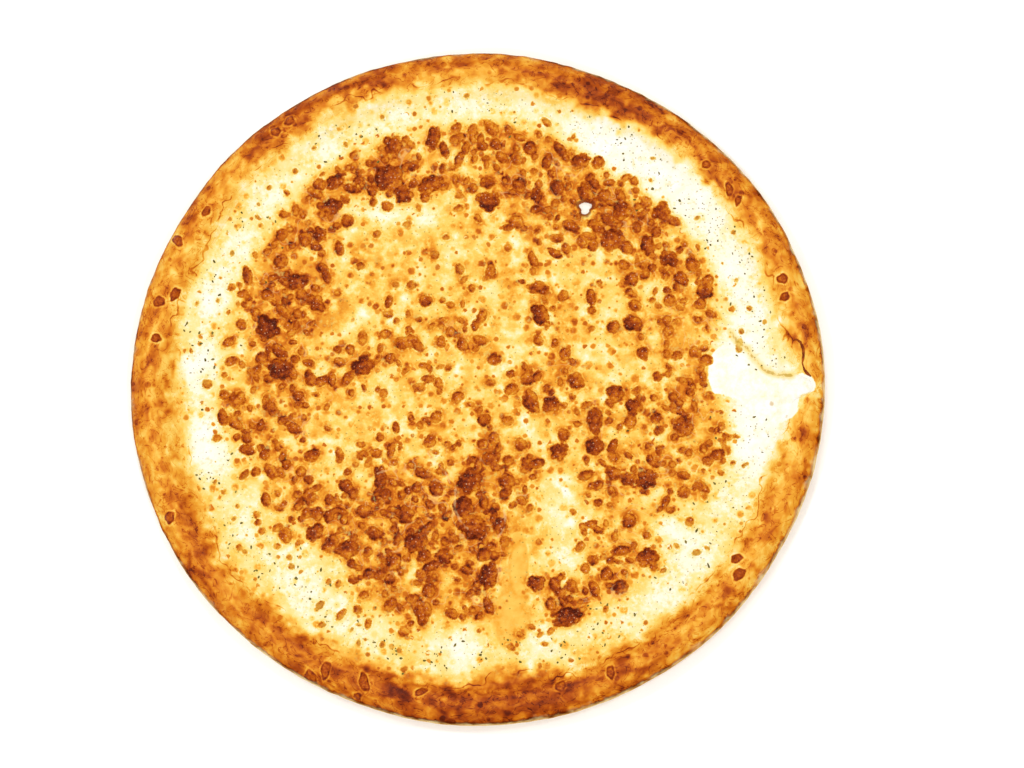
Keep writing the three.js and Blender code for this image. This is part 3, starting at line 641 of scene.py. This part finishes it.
def make_cheese(blisters):
    """The melted cheese as one closed, finely modelled sheet."""
    ratio, angle = disc_points(CHEESE_RINGS)
    edge = cheese_edge(angle)
    radius = ratio * CHEESE_EDGE + (edge - CHEESE_EDGE) * smoothstep(0.8, 1.0, ratio)
    x, y = polar(radius, angle)
    small = [seat(*blister) for blister in SMALL_BLISTERS]
    rise, inside, char, size = blister_fields(x, y, blisters + small)
    crack = distance_to_line(x, y, CRACK) + 0.5 * ripple(x, y, 5, 3)
    fold = np.min([distance_to_line(x, y, line) for line in FOLDS], axis=0) + 0.5 * ripple(x, y, 4, 8)
    seam = distance_to_line(x, y, SEAM) + 1.2 * ripple(x, y, 14, 6)
    lobe = np.min([np.hypot((x - px) / wide, (y - py) / long) for px, py, wide, long in GOLDEN_LOBE], axis=0)
    turn = np.arctan2(y - PIT_Y, x - PIT_X)
    ragged = 0.86 + 0.15 * np.cos(3 * (turn - 0.42)) + 0.07 * np.sin(5 * turn)
    pit = np.hypot(x - PIT_X, y - PIT_Y) / (PIT_RADIUS * ragged)

    softness = smoothstep(0, 5, edge - radius)
    fine = 0.10 * ripple(x, y, 7.5, 9) * ripple(x, y, 11, 2) + 0.05 * ripple(x, y, 3.1, 7)
    z = plain_cheese(x, y) + np.maximum(rise, lobe_rise(x, y)) + fine * softness
    z = z - np.where(pit < 1, PIT_DEPTH * (1 - np.clip(pit, 0, 1) ** 3), 0)
    z = z - 0.3 * bell(crack, 0.8) * softness + 0.12 * bell(fold, 0.6) - 0.25 * bell(seam, 3.0)

    # the edge sinks a little into the dough, and the underside lies just above the base's floor
    count = 6 * CHEESE_RINGS
    first = len(x) - count
    top = np.stack([x, y, z], axis=1)
    top[first:, 2] = dough_top(x[first:], y[first:]) - EDGE_SINK
    step = TAU * np.arange(count) / count
    floor_radius = outline(step) - SECTION[0][0]
    levels = []
    for share in (0.5, 1.0):
        lx, ly = polar(cheese_edge(step) * (1 - share) + floor_radius * share, step)
        lift = (EDGE_SINK + GAP) * share - EDGE_SINK
        levels.append(np.stack([lx, ly, dough_top(lx, ly) + lift], axis=1))
    points = np.concatenate([top, *levels, [[0, 0, FLOOR_TOP + GAP]]])
    starts = [first, len(top), len(top) + count]
    underside = fan(starts[-1], count, len(points) - 1, up=False)
    faces = [disc_faces(CHEESE_RINGS), *ring_bands(starts, count), underside]
    piece = make_mesh("melted_cheese", points, faces)
    crease(piece, first, len(top))

    add_fields(
        piece, inside=inside, char=char, size=size, crack=crack, milk=milkiness(x, y),
        brown=browning(x, y) * smoothstep(126, 112, radius),
        butter=np.clip(patches(x, y, BUTTERY), 0, 1.4),
        pool=inside_loop(x, y, POOL_EDGE),
        rimward=radius - edge + arcs(angle, BORDER_SHIFTS),
        fold=np.minimum(fold, 8),
        seam=np.minimum(seam, 20),
        lobe=np.minimum(lobe, 3),
        pit=np.minimum(pit, 3),
        bake=rim_bake(angle),
        streak=streak_space(angle, outline(angle) - radius),
    )
    return piece, (x, y, z)


# --- crust
def smooth_section(samples):
    """Rounded cross-section through the named points: distance in from the outline, height."""
    points = np.array(SECTION)
    along = np.concatenate([[0], np.cumsum(np.hypot(*np.diff(points, axis=0).T))])
    steps = np.linspace(0, along[-1], samples)
    out = np.zeros((samples, 2))
    for axis in range(2):
        slope = np.gradient(points[:, axis], along)
        if axis == 1:
            slope[0] = 0
        i = np.clip(np.searchsorted(along, steps, side="right") - 1, 0, len(along) - 2)
        h = along[i + 1] - along[i]
        t = (steps - along[i]) / h
        p0, p1 = points[i, axis], points[i + 1, axis]
        m0, m1 = slope[i] * h, slope[i + 1] * h
        out[:, axis] = (
            (2 * t**3 - 3 * t**2 + 1) * p0 + (t**3 - 2 * t**2 + t) * m0
            + (-2 * t**3 + 3 * t**2) * p1 + (t**3 - t**2) * m1
        )
    out[:, 1] = np.maximum(out[:, 1], 0)
    out[-1] = points[-1]
    return out


def crumb_fields(x, y):
    """Rise and depth inside the edge of the nearest crumb on the rim."""
    rise = np.zeros_like(x)
    inside = np.full_like(x, -6.0)
    for cx, cy, length, width, degrees in (seat(*crumb) for crumb in CRUMBS):
        near = np.flatnonzero((np.abs(x - cx) < 10) & (np.abs(y - cy) < 10))
        u, v = turned(x[near] - cx, y[near] - cy, math.radians(degrees))
        u, v = u / (0.5 * length), v / (0.5 * width)
        around = np.arctan2(v, u)
        t = np.hypot(u, v) / (1 + 0.08 * np.sin(3 * around + cx) + 0.06 * np.sin(5 * around + cy))
        depth = (1 - t) * 0.5 * math.sqrt(length * width)
        rise[near] = np.maximum(rise[near], CRUMB_HEIGHT * np.clip(1 - t**2.6, 0, 1))
        inside[near] = np.maximum(inside[near], depth)
    return rise, inside


def make_crust():
    """The baked base: a floor fan, the rounded rim and a flat underside."""
    section = smooth_section(CRUST_RINGS)
    distance, height = (np.repeat(column, CRUST_STEPS) for column in section.T)
    angle = np.tile(TAU * np.arange(CRUST_STEPS) / CRUST_STEPS, CRUST_RINGS)
    radius = outline(angle) - distance
    x, y = polar(radius, angle)
    on_top = np.repeat(np.arange(CRUST_RINGS) <= np.argmin(section[:, 0]), CRUST_STEPS)
    lift = rim_relief(angle, distance) * np.clip((height - 3.0) / 6.0, 0, 1)
    crumb_rise, crumb_inside = crumb_fields(x, y)
    grain = 0.16 * ripple(x, y, 5.2, 3) * ripple(x, y, 8.4, 8) + 0.08 * ripple(x, y, 2.6, 6)
    blobs = np.clip(ripple(x, y, 13, 11) - 0.25, 0, 1) * 0.7
    crown = bell(distance - CROWN_DISTANCE, 8.0)
    z = height + (lift + (grain + blobs) * crown + crumb_rise) * on_top
    swell = 0.35 * ripple(x, y, 9, 4) + 0.2 * ripple(x, y, 4, 1)
    out_x, out_y = polar(0.6 * swell * bell(height - 7.0, 3.5) * (distance < 4), angle)
    x, y = x + out_x, y + out_y
    rim = np.stack([x, y, z], axis=1)
    points = np.concatenate([rim, [[0, 0, FLOOR_TOP], [0, 0, 0]]])
    starts = CRUST_STEPS * np.arange(CRUST_RINGS)
    floor = fan(0, CRUST_STEPS, len(rim), up=True)
    underside = fan(starts[-1], CRUST_STEPS, len(rim) + 1, up=False)
    piece = make_mesh("baked_crust", points, [*ring_bands(starts, CRUST_STEPS), floor, underside])

    # each field is followed by its values in the middle of the floor and of the underside
    add_fields(
        piece,
        bake=np.append(rim_bake(angle), [0, 0]),
        inward=np.append(distance, [40, 40]),
        above=np.append(on_top, [1, 0]),
        crumb=np.append(np.where(on_top, crumb_inside, -6), [-6, -6]),
        rimward=np.append(radius - cheese_edge(angle) + arcs(angle, BORDER_SHIFTS), [-90, -90]),
        pool=np.append(inside_loop(x, y, POOL_EDGE), [-9, -9]),
        milk=milkiness(x, y),
        streak=streak_space(angle, distance),
    )
    return piece


# --- herb flecks and cheese skin
def place_flecks(blisters):
    """The larger herb flecks, raised on the solid too, as (x, y, r, turn)."""
    draw = seeded(FLECK_SEED)
    placed = []
    while len(placed) < FLECKS:
        angle = TAU * draw()
        x, y = polar(FLECK_INNER + (FLECK_OUTER - FLECK_INNER) * draw(), angle)
        r = 0.85 + 0.4 * draw()
        turn = TAU * draw()
        if clear(blisters[:RAISED_BLISTERS], x, y, 2.2) and clear(placed, x, y, 3.2, share=0):
            placed.append((x, y, 0.54 * r, turn))
    return placed


def fine_flecks(blisters):
    """Finer flecks in loose clusters round the milky band."""
    draw = seeded(FINE_FLECK_SEED)
    flecks = []
    for cx, cy, spread in (seat(*cluster) for cluster in FLECK_CLUSTERS):
        for _ in range(5 + int(5 * draw())):
            angle = TAU * draw()
            dx, dy = polar(spread * math.sqrt(draw()), angle)
            r = 0.22 + 0.4 * draw() ** 2
            turn = TAU * draw()
            x, y = cx + dx, cy + dy
            room = float(cheese_edge(math.atan2(y, x))) - math.hypot(x, y)
            if room > 1.5 and clear(blisters, x, y, 0.6):
                flecks.append((x, y, r, turn))
    return flecks


def make_flecks(flecks, surface):
    """All herb flecks as one joined mesh of thin, ragged flakes."""
    sx, sy, sz = surface
    draw = seeded(FLAKE_SEED)
    points, faces = [], []
    sides = 7
    for x, y, r, turn in flecks:
        ground = float(sz[np.argmin((sx - x) ** 2 + (sy - y) ** 2)])
        stretch = math.sqrt(1.0 + 1.1 * draw())
        thick = 0.12 + 0.12 * r
        start = len(points)
        levels = ((0.96, -0.18), (1.0, 0.35 * thick), (0.55, thick))
        for scale, height in levels:
            for k in range(sides):
                ragged = 1 + 0.6 * (draw() - 0.5) if height < thick else 1
                u, v = polar(r * scale * ragged, TAU * k / sides)
                dx, dy = turned(u * stretch, v / stretch, -turn)
                points.append((x + dx, y + dy, ground + height))
        points.append((x, y, ground - 0.2))
        points.append((x, y, ground + thick * 1.1))
        faces += tube_faces(start, len(levels), sides)
    return make_mesh("herb_flecks", np.array(points), [np.array(faces)], smooth=False)


def make_skin():
    """Curled dark edge of dried cheese beside the white tongue."""
    sides, steps = 8, 5
    listed = np.array([seat(*point) for point in SKIN_PATH])
    places = np.arange(steps * (len(listed) - 1) + 1) / steps
    x, y, r = (np.interp(places, np.arange(len(listed)), column) for column in listed.T)
    ahead = np.gradient(np.stack([x, y], axis=1), axis=0)
    ahead /= np.linalg.norm(ahead, axis=1)[:, None]
    ground = np.maximum(dough_top(x, y), plain_cheese(x, y)) + 0.1
    r = r * (1 + 0.15 * ripple(x, y, 2.2, 5))
    across, up = (part.T for part in polar(r, TAU * np.arange(sides)[:, None] / sides))
    rings = np.stack([
        x[:, None] - ahead[:, 1:] * across,
        y[:, None] + ahead[:, :1] * across,
        ground[:, None] + 0.65 * up,
    ], axis=2)
    points = np.concatenate([rings.reshape(-1, 3), [rings[0].mean(axis=0), rings[-1].mean(axis=0)]])
    return make_mesh("cheese_skin", points, [np.array(tube_faces(0, len(places), sides))])


# --- materials
def linear(red, green, blue):
    """Base colour that looks like the sRGB colour given, 0 to 255, under the lamps."""
    out = []
    for value in (red, green, blue):
        c = value / 255
        c = c / 12.92 if c <= 0.04045 else ((c + 0.055) / 1.055) ** 2.4
        out.append(c / LIGHT_LEVEL)
    return (*out, 1.0)


def operator(operation):
    """Method that adds a node for an operation on this value and another."""
    return lambda self, other: self.math(operation, self, other)


class Value:
    """A node's output. Arithmetic with it adds the nodes that work it out."""

    def __init__(self, material, socket):
        self.material = material
        self.socket = socket

    def other(self, name):
        """Another output of the same node."""
        return Value(self.material, self.socket.node.outputs[name])

    def math(self, operation, *values):
        return self.material.add("Math", dict(enumerate(values)), operation=operation)

    __add__ = operator("ADD")
    __sub__ = operator("SUBTRACT")
    __mul__ = operator("MULTIPLY")
    __truediv__ = operator("DIVIDE")
    __lt__ = operator("LESS_THAN")
    at_least = operator("MAXIMUM")
    at_most = operator("MINIMUM")

    def __rsub__(self, other):
        return self.math("SUBTRACT", other, self)

    def __abs__(self):
        return self.math("ABSOLUTE", self)

    def towards(self, target, share):
        """This value moved towards a target by a share from 0 to 1."""
        return self + share * (target - self)

    def step(self, low, high):
        """Smooth step from 0 at low to 1 at high, whichever of them is larger."""
        inputs = {
            "Value": self,
            "From Min": min(low, high),
            "From Max": max(low, high),
            "To Min": float(low > high),
            "To Max": float(low <= high),
        }
        return self.material.add("MapRange", inputs, "Result", interpolation_type="SMOOTHSTEP")


class Material:
    """A new material, with short calls that add nodes to it."""

    def __init__(self, name):
        self.material = bpy.data.materials.new(name)
        self.material.use_nodes = True
        self.tree = self.material.node_tree
        self.tree.nodes.clear()
        self.shader = self.tree.nodes.new("ShaderNodeBsdfPrincipled")
        out = self.tree.nodes.new("ShaderNodeOutputMaterial")
        self.tree.links.new(self.shader.outputs[0], out.inputs[0])
        metres = self.add("TexCoord", {}, "Object")
        self.place = self.add("VectorMath", {0: metres, "Scale": 1 / MM}, operation="SCALE")
        self.grain = {}

    def put(self, socket, value):
        """Links a value to a socket, or sets a number or colour on it."""
        if isinstance(value, Value):
            self.tree.links.new(value.socket, socket)
        else:
            socket.default_value = value

    def add(self, kind, inputs, output=0, **settings):
        """Adds a node with its settings and inputs, and gives one of its outputs."""
        node = self.tree.nodes.new("ShaderNode" + kind)
        for name, setting in settings.items():
            setattr(node, name, setting)
        for name, value in inputs.items():
            self.put(node.inputs[name], value)
        return Value(self, node.outputs[output])

    def field(self, name, output="Fac"):
        """Per-vertex number or vector of the mesh."""
        return self.add("Attribute", {}, output, attribute_name=name)

    def shifted(self, place, shift):
        return self.add("VectorMath", {0: place, 1: shift}, operation="ADD")

    def noise(self, size, detail=3.0, rough=0.55, where=None, offset=0.0, distortion=0.0):
        """Noise between 0 and 1 with features about size mm across."""
        inputs = {
            "Vector": self.shifted(where or self.place, (offset, offset * 0.7, offset * 1.3)),
            "Scale": 1.0 / size,
            "Detail": detail,
            "Roughness": rough,
            "Distortion": distortion,
        }
        return self.add("TexNoise", inputs, "Fac")

    def dots(self, size, smallest, largest, offset=0.0):
        """Scattered dots: depth in mm inside the nearest one, and two random numbers for it."""
        inputs = {"Vector": self.shifted(self.place, (offset, offset * 0.7, 0.0)), "Scale": 1.0 / size}
        distance = self.add("TexVoronoi", inputs, "Distance", voronoi_dimensions="2D")
        chance = self.add("SeparateColor", {0: distance.other("Color")})
        radius = chance * (largest - smallest) + smallest
        return radius - distance * size, chance.other(1), chance.other(2)

    def uneven(self, **amounts):
        """Sum of the grain's noises, each swinging about zero by the amount given."""
        first, *others = [(self.grain[name] - 0.5) * amount for name, amount in amounts.items()]
        return sum(others, first)

    def mix(self, amount, first, second):
        return self.add("Mix", {"Factor": amount, 6: first, 7: second}, 2, data_type="RGBA")

    def ramp(self, value, stops):
        """Colour for a value through stops of (value, sRGB colour)."""
        colour = self.add("ValToRGB", {0: value})
        elements = colour.socket.node.color_ramp.elements
        while len(elements) < len(stops):
            elements.new(0.5)
        for element, (place, stop) in zip(elements, stops):
            element.position = place
            element.color = linear(*stop)
        return colour

    def finish(self, colour, rough, gloss, *relief):
        """Sets the shader, with relief listed lowest first as (height, depth in mm, strength)."""
        self.put(self.shader.inputs["Base Color"], colour)
        self.put(self.shader.inputs["Roughness"], rough)
        self.put(self.shader.inputs["Specular IOR Level"], gloss)
        below = {}
        for height, depth, strength in relief:
            inputs = {"Height": height, "Distance": depth * MM, "Strength": strength, **below}
            below = {"Normal": self.add("Bump", inputs)}
        for name, value in below.items():
            self.put(self.shader.inputs[name], value)
        return self.material


def baked_material(name, tiny, tiny_offset):
    """A material with the noises that cheese and dough share, and a tiny one of its own."""
    m = Material(name)
    m.grain = {
        "broad": m.noise(11.0, 2.0),
        "medium": m.noise(4.2, 3.0, offset=31),
        "fine": m.noise(1.5, 3.0, offset=77),
        "tiny": m.noise(tiny, 2.0, offset=tiny_offset),
        "blotch": m.noise(2.1, 2.0, offset=29),
    }
    return m


def rim_baking(m):
    """How far the rim is baked: darker streaks run along it."""
    streak = m.field("streak", "Vector")
    broad = m.noise(15.0, 1.0, where=streak) - 0.5
    narrow = m.noise(6.5, 1.5, rough=0.45, where=streak, offset=23, distortion=0.5) - 0.5
    fine = m.noise(2.2, 2.0, offset=5) - 0.5
    return broad * 0.46 + narrow * 0.62 + fine * 0.2 + m.field("bake") * 0.18 + 0.6


def rim_share(m):
    """How far the cheese has given way to baked rim, 0 to 1, across their ragged border."""
    smooth = m.noise(6.0, 1.0, offset=35) - 0.5
    out = m.field("rimward") + smooth * 11.0 + m.uneven(medium=5.0, broad=8.0) + m.field("bake") * 2.6
    return out.step(-3.0, 9.0)


def border_thread(m):
    """Baking of a thin line of dried cheese that comes and goes along the border with the rim."""
    line = abs(m.field("rimward") + (m.noise(8.0, 1.0, offset=35) - 0.5) * 13.0 - 1.0)
    return line.step(0.6, 0.12) * m.noise(17.0, 2.0, offset=93).step(0.5, 0.58) * 0.22


def pool_share(m):
    """1 on the milky pool and its tongue, 0 off them, with a ragged edge."""
    return (m.field("pool") + m.uneven(tiny=1.0, fine=1.2)).step(-0.35, 0.45)


def ground_baking(m):
    """How far the plain cheese is baked, and how milky it is."""
    milky = (m.field("milk") + m.uneven(medium=1.9, broad=0.9, fine=1.0)).step(0.05, 0.95)
    uneven = m.uneven(broad=0.85, medium=0.7, fine=0.2)
    return uneven * (1.0 - milky * 0.55) - milky * 0.325 + 0.392, milky


def golden_ground(m, brown):
    """How far the cheese between the blisters is baked, how milky it is and how dry."""
    baking, milky = ground_baking(m)
    butter = (m.field("butter") + m.uneven(medium=0.9, broad=0.6)).step(0.3, 0.85)
    seam = (m.field("seam") + m.grain["medium"] * 4.0).step(5.5, 2.0)
    baking = baking + butter * 0.095 + brown * (brown * 0.07 + 0.065) - seam * 0.14
    depth, chance, other = m.dots(5.2, 0.4, 2.0, offset=43)
    freckle = (depth + m.uneven(fine=1.4)).step(-0.6, 0.7) * (chance < 0.68)
    dry = 1.0 - milky * 0.9
    baking = baking.at_most(0.6).at_least(0.0) + freckle * dry * other * 0.34
    lobe = m.field("lobe") + m.uneven(medium=0.85)
    yolk = m.uneven(medium=0.2) + lobe.step(0.5, 0.95) * 0.05 + 0.475
    return baking.towards(yolk, lobe.step(1.08, 0.84)), milky, dry


def cheese_material():
    """Milky to golden melted cheese with glossy browned blisters."""
    m = baked_material("melted_cheese", 0.7, 13)
    medium, fine, tiny = m.grain["medium"], m.grain["fine"], m.grain["tiny"]
    inside = m.field("inside")
    char = m.field("char")
    brown = m.field("brown")
    baking, milky, dry = golden_ground(m, brown)

    # golden skirt and pale outline round the blisters, small spots, then the blisters themselves
    near = inside + m.uneven(fine=2.2, medium=3.6)
    halo = inside.step(-1.3, -0.7) * inside.step(-0.1, -0.5) * fine.step(0.4, 0.6)
    baking = baking + near.step(-2.6, 0.2) * (brown * 0.1 + 0.165) - halo * 0.16
    depth, chance, other = m.dots(3.3, 0.2, 1.2)
    small = (depth + m.uneven(tiny=0.6, fine=1.1)).step(-0.4, 0.35) * (chance < brown * 0.45 + dry * 0.19)
    baking = baking.towards(other * 0.2 + 0.57, small)
    mask = (inside + m.uneven(tiny=1.1, fine=1.4)).step(-0.6, 0.5)
    edge = ((inside + m.uneven(fine=1.3)) / m.field("size")).step(0.5, 0.05)
    shade = char * 0.21 + m.uneven(blotch=0.55, tiny=0.25) + edge * char * 0.06 + 0.655
    baking = baking.towards(shade, mask)

    # towards the rim the cheese takes on the baking of the rim, and the pool stays white
    share = rim_share(m)
    baking = baking.towards(rim_baking(m), share) + border_thread(m)
    pool = pool_share(m) * inside.step(-0.2, -0.5)
    white = (m.uneven(medium=0.4, broad=0.35, fine=0.3) + 0.06).at_least(0.0)
    colour = m.ramp(baking.towards(white, pool), BAKING)

    # details off the scale of baking, among them painted highlights: glints on the blisters and a pale tint
    # along the folds
    stray = mask.at_least(small) * brown.step(0.25, 0.05) * char.step(0.5, 0.2)
    stray = stray * (0.6 - share * 0.6) * (milky * 0.8 + 0.2)
    open_ground = (1.0 - mask) * (1.0 - pool) * (1.0 - share)
    smudge = m.noise(2.4, 3.0, offset=51).step(0.56, 0.72)
    depth, chance, _ = m.dots(2.7, 0.12, 0.36, offset=19)
    speck = depth.step(-0.14, 0.14) * (chance < milky * 0.3 + 0.4)
    thread = abs(m.noise(11.0, 1.0, offset=87, distortion=0.4) - 0.5).step(0.012, 0.003)
    thread = thread * brown.step(0.25, 0.6) * (0.24 - mask * 0.2)
    crack = m.field("crack") + m.uneven(fine=1.6)
    # painted highlight: small pale glints dotted inside the blisters, standing in for light caught by their
    # gloss
    depth, chance, _ = m.dots(1.7, 0.05, 0.34, offset=61)
    painted_glint = (depth + m.uneven(tiny=0.3)).step(-0.1, 0.15) * (chance < 0.5) * inside.step(0.4, 0.9)
    # painted highlight: a pale tint along the short folds, whose ridges are also raised a little
    fold = (m.field("fold") + m.uneven(fine=1.2)).step(0.6, 0.1)
    pit = m.field("pit") + m.uneven(fine=0.6)
    details = [
        (stray, (206, 160, 62)),
        (smudge * open_ground * 0.45, (226, 204, 108)),
        (speck * open_ground * 0.6, (136, 112, 40)),
        (thread, (254, 218, 150)),
        (crack.step(2.8, 0.6) * 0.7, (252, 218, 112)),
        (crack.step(0.75, 0.1) * 0.8, (200, 158, 52)),
        # painted highlight: the glints on the blisters
        (painted_glint * 0.6, (250, 190, 144)),
        # painted highlight along the folds
        (fold * 0.4, (252, 204, 140)),
        (pit.step(1.6, 1.2) * 0.85, (126, 50, 10)),
        (pit.step(1.02, 0.86), (254, 246, 232)),
    ]
    for amount, tint in details:
        colour = m.mix(amount, colour, linear(*tint))
    rough = fine * 0.2 - mask * 0.16 + 0.3
    return m.finish(colour, rough, 0.09, (medium, 0.5, 0.5), (fine, 0.35, 0.6), (tiny * mask, 0.5, 0.8))


def crust_material():
    """Baked dough: golden with darker arcs, a dark outer line, a pale side and underside."""
    m = baked_material("baked_crust", 0.8, 41)
    medium, fine, tiny = m.grain["medium"], m.grain["fine"], m.grain["tiny"]
    inward = m.field("inward")
    above = m.field("above")

    # towards the cheese the rim is buttery; thin wrinkles run along it, and it is freckled
    butter, _ = ground_baking(m)
    baking = butter.towards(rim_baking(m), rim_share(m)) + border_thread(m)
    streak = m.field("streak", "Vector")
    thread = abs(m.noise(9.0, 2.0, where=streak, offset=67, distortion=1.6) - 0.5).step(0.02, 0.004)
    depth, chance, _ = m.dots(5.5, 0.3, 1.5, offset=7)
    freckle = (depth + m.uneven(fine=1.0)).step(-0.3, 0.4) * (chance < 0.3)
    baking = baking + thread * 0.14 + freckle * 0.13

    # crumbs: pale round them, dark at their edge
    crumb = m.field("crumb") + m.uneven(fine=0.7)
    shell = crumb.step(1.2, 0.3) * 0.09 + m.uneven(tiny=0.3, blotch=0.4) + 0.795
    halo = crumb.step(-1.3, -0.5) * crumb.step(0.1, -0.3)
    baking = (baking - halo * 0.1).towards(shell, crumb.step(-0.35, 0.4))

    # darkest along the outer edge of the top, white where the tongue lies, floured on the side and below
    line = inward + m.uneven(medium=1.6)
    baking = baking + line.step(2.0, 0.5) * above * 0.3
    colour = m.ramp(baking.towards(0.06, pool_share(m)).at_most(0.98), BAKING)
    height = m.add("SeparateXYZ", {0: m.place}, "Z")
    side = (height + m.uneven(medium=6.0, broad=5.0)).step(11.5, 6.5) * inward.step(6.0, 4.0)
    colour = m.mix(side, colour, m.ramp(m.uneven(medium=0.9, broad=0.7, fine=0.3) + 0.4, FLOURED))
    flat = (height + m.uneven(fine=1.5)).step(1.8, 0.3) * (1.0 - above)
    colour = m.mix(flat, colour, m.ramp(m.uneven(medium=1.2, broad=1.0, fine=0.5) + 0.55, FLOURED))
    rough = fine * 0.22 + side * 0.25 + 0.28
    gloss = line.step(1.0, 5.0) * 0.1
    return m.finish(colour, rough, gloss, (medium, 0.6, 0.6), (fine, 0.3, 0.7), (tiny, 0.12, 0.5))


def herb_material():
    """Dried green-black herb."""
    m = Material("dried_herb")
    patch = m.noise(2.5, 2.0, offset=3)
    fine = m.noise(0.5, 2.0, offset=9)
    colour = m.mix(patch.step(0.35, 0.65), linear(98, 86, 34), linear(146, 128, 60))
    colour = m.mix(fine.step(0.5, 0.7), colour, linear(64, 56, 20))
    return m.finish(colour, fine * 0.2 + 0.55, 0.05, (fine, 0.2, 0.6))


def skin_material():
    """Dark dried skin of cheese."""
    m = Material("dried_skin")
    patch = m.noise(3.0, 3.0, offset=2)
    fine = m.noise(0.8, 2.0, offset=6)
    colour = m.mix(patch.step(0.4, 0.62), linear(176, 86, 18), linear(118, 42, 4))
    return m.finish(colour, fine * 0.2 + 0.3, 0.08, (fine, 0.2, 0.6))


def floor_material():
    """Plain pale paper-like ground."""
    m = Material("pale_ground")
    colour = m.mix(m.noise(6.0, 2.0), (0.97, 0.97, 0.97, 1), (0.99, 0.99, 0.99, 1))
    return m.finish(colour, 0.9, 0.0)


# --- camera, light and ground
def make_camera():
    """Camera nearly overhead, a little to the lower right, with +Y up in the picture."""
    e = math.radians(CAMERA_ELEVATION)
    a = math.radians(CAMERA_AZIMUTH)
    back = Vector((math.sin(a) * math.cos(e), -math.cos(a) * math.cos(e), math.sin(e)))
    right = Vector((0, 1, 0)).cross(back).normalized()
    up = back.cross(right)
    pixels = CAMERA_LENS * PHOTO_WIDTH / SENSOR
    across = (PIE_CENTRE[0] - PHOTO_WIDTH / 2) / pixels * CAMERA_DISTANCE
    along = -(PIE_CENTRE[1] - PHOTO_HEIGHT / 2) / pixels * CAMERA_DISTANCE
    data = bpy.data.cameras.new("camera")
    data.lens = CAMERA_LENS
    data.sensor_width = SENSOR
    data.clip_start = 0.05
    data.clip_end = 20
    camera = bpy.data.objects.new("camera", data)
    place = Vector(CAMERA_TARGET) + back * CAMERA_DISTANCE - right * across - up * along
    camera.matrix_world = Matrix.Translation(place) @ Matrix((right, up, back)).transposed().to_4x4()
    bpy.context.scene.collection.objects.link(camera)
    bpy.context.scene.camera = camera


def make_lamp(name, place):
    """Soft square lamp aimed at the middle of the pie."""
    data = bpy.data.lights.new(name, "AREA")
    data.shape = "SQUARE"
    data.size = LAMP_SIZE
    data.energy = LAMP_POWER
    lamp = bpy.data.objects.new(name, data)
    lamp.location = place
    lamp.rotation_mode = "QUATERNION"
    lamp.rotation_quaternion = (-Vector(place)).to_track_quat("-Z", "Y")
    bpy.context.scene.collection.objects.link(lamp)


def make_stage():
    """Pale ground, even sky light and soft lamps."""
    half = GROUND_HALF
    points = np.array([[-half, -half, 0], [half, -half, 0], [half, half, 0], [-half, half, 0]])
    ground = make_mesh("ground", points / MM, [np.array([[0, 1, 2, 3]])], smooth=False)
    ground.data.materials.append(floor_material())
    ground.location.z = -GROUND_DROP
    world = bpy.data.worlds.new("sky")
    world.use_nodes = True
    sky = world.node_tree.nodes["Background"]
    sky.inputs["Color"].default_value = (1.0, 1.0, 1.0, 1)
    sky.inputs["Strength"].default_value = SKY_STRENGTH
    bpy.context.scene.world = world
    for k, degrees in enumerate(LAMP_ANGLES):
        turn = math.radians(degrees)
        make_lamp(f"lamp_{k}", (LAMP_RADIUS * math.cos(turn), LAMP_RADIUS * math.sin(turn), LAMP_HEIGHT))
    bpy.context.scene.view_settings.view_transform = "Standard"


# --- the pie
def main():
    blisters = place_blisters()
    cheese, surface = make_cheese(blisters)
    cheese.data.materials.append(cheese_material())
    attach(cheese, "root")
    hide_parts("cheese")

    crust = make_crust()
    crust.data.materials.append(crust_material())
    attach(crust, "root")
    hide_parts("crust")

    flecks = make_flecks(place_flecks(blisters) + fine_flecks(blisters), surface)
    flecks.data.materials.append(herb_material())
    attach(flecks, "root")

    skin = make_skin()
    skin.data.materials.append(skin_material())
    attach(skin, "root")

    make_camera()
    make_stage()


main()
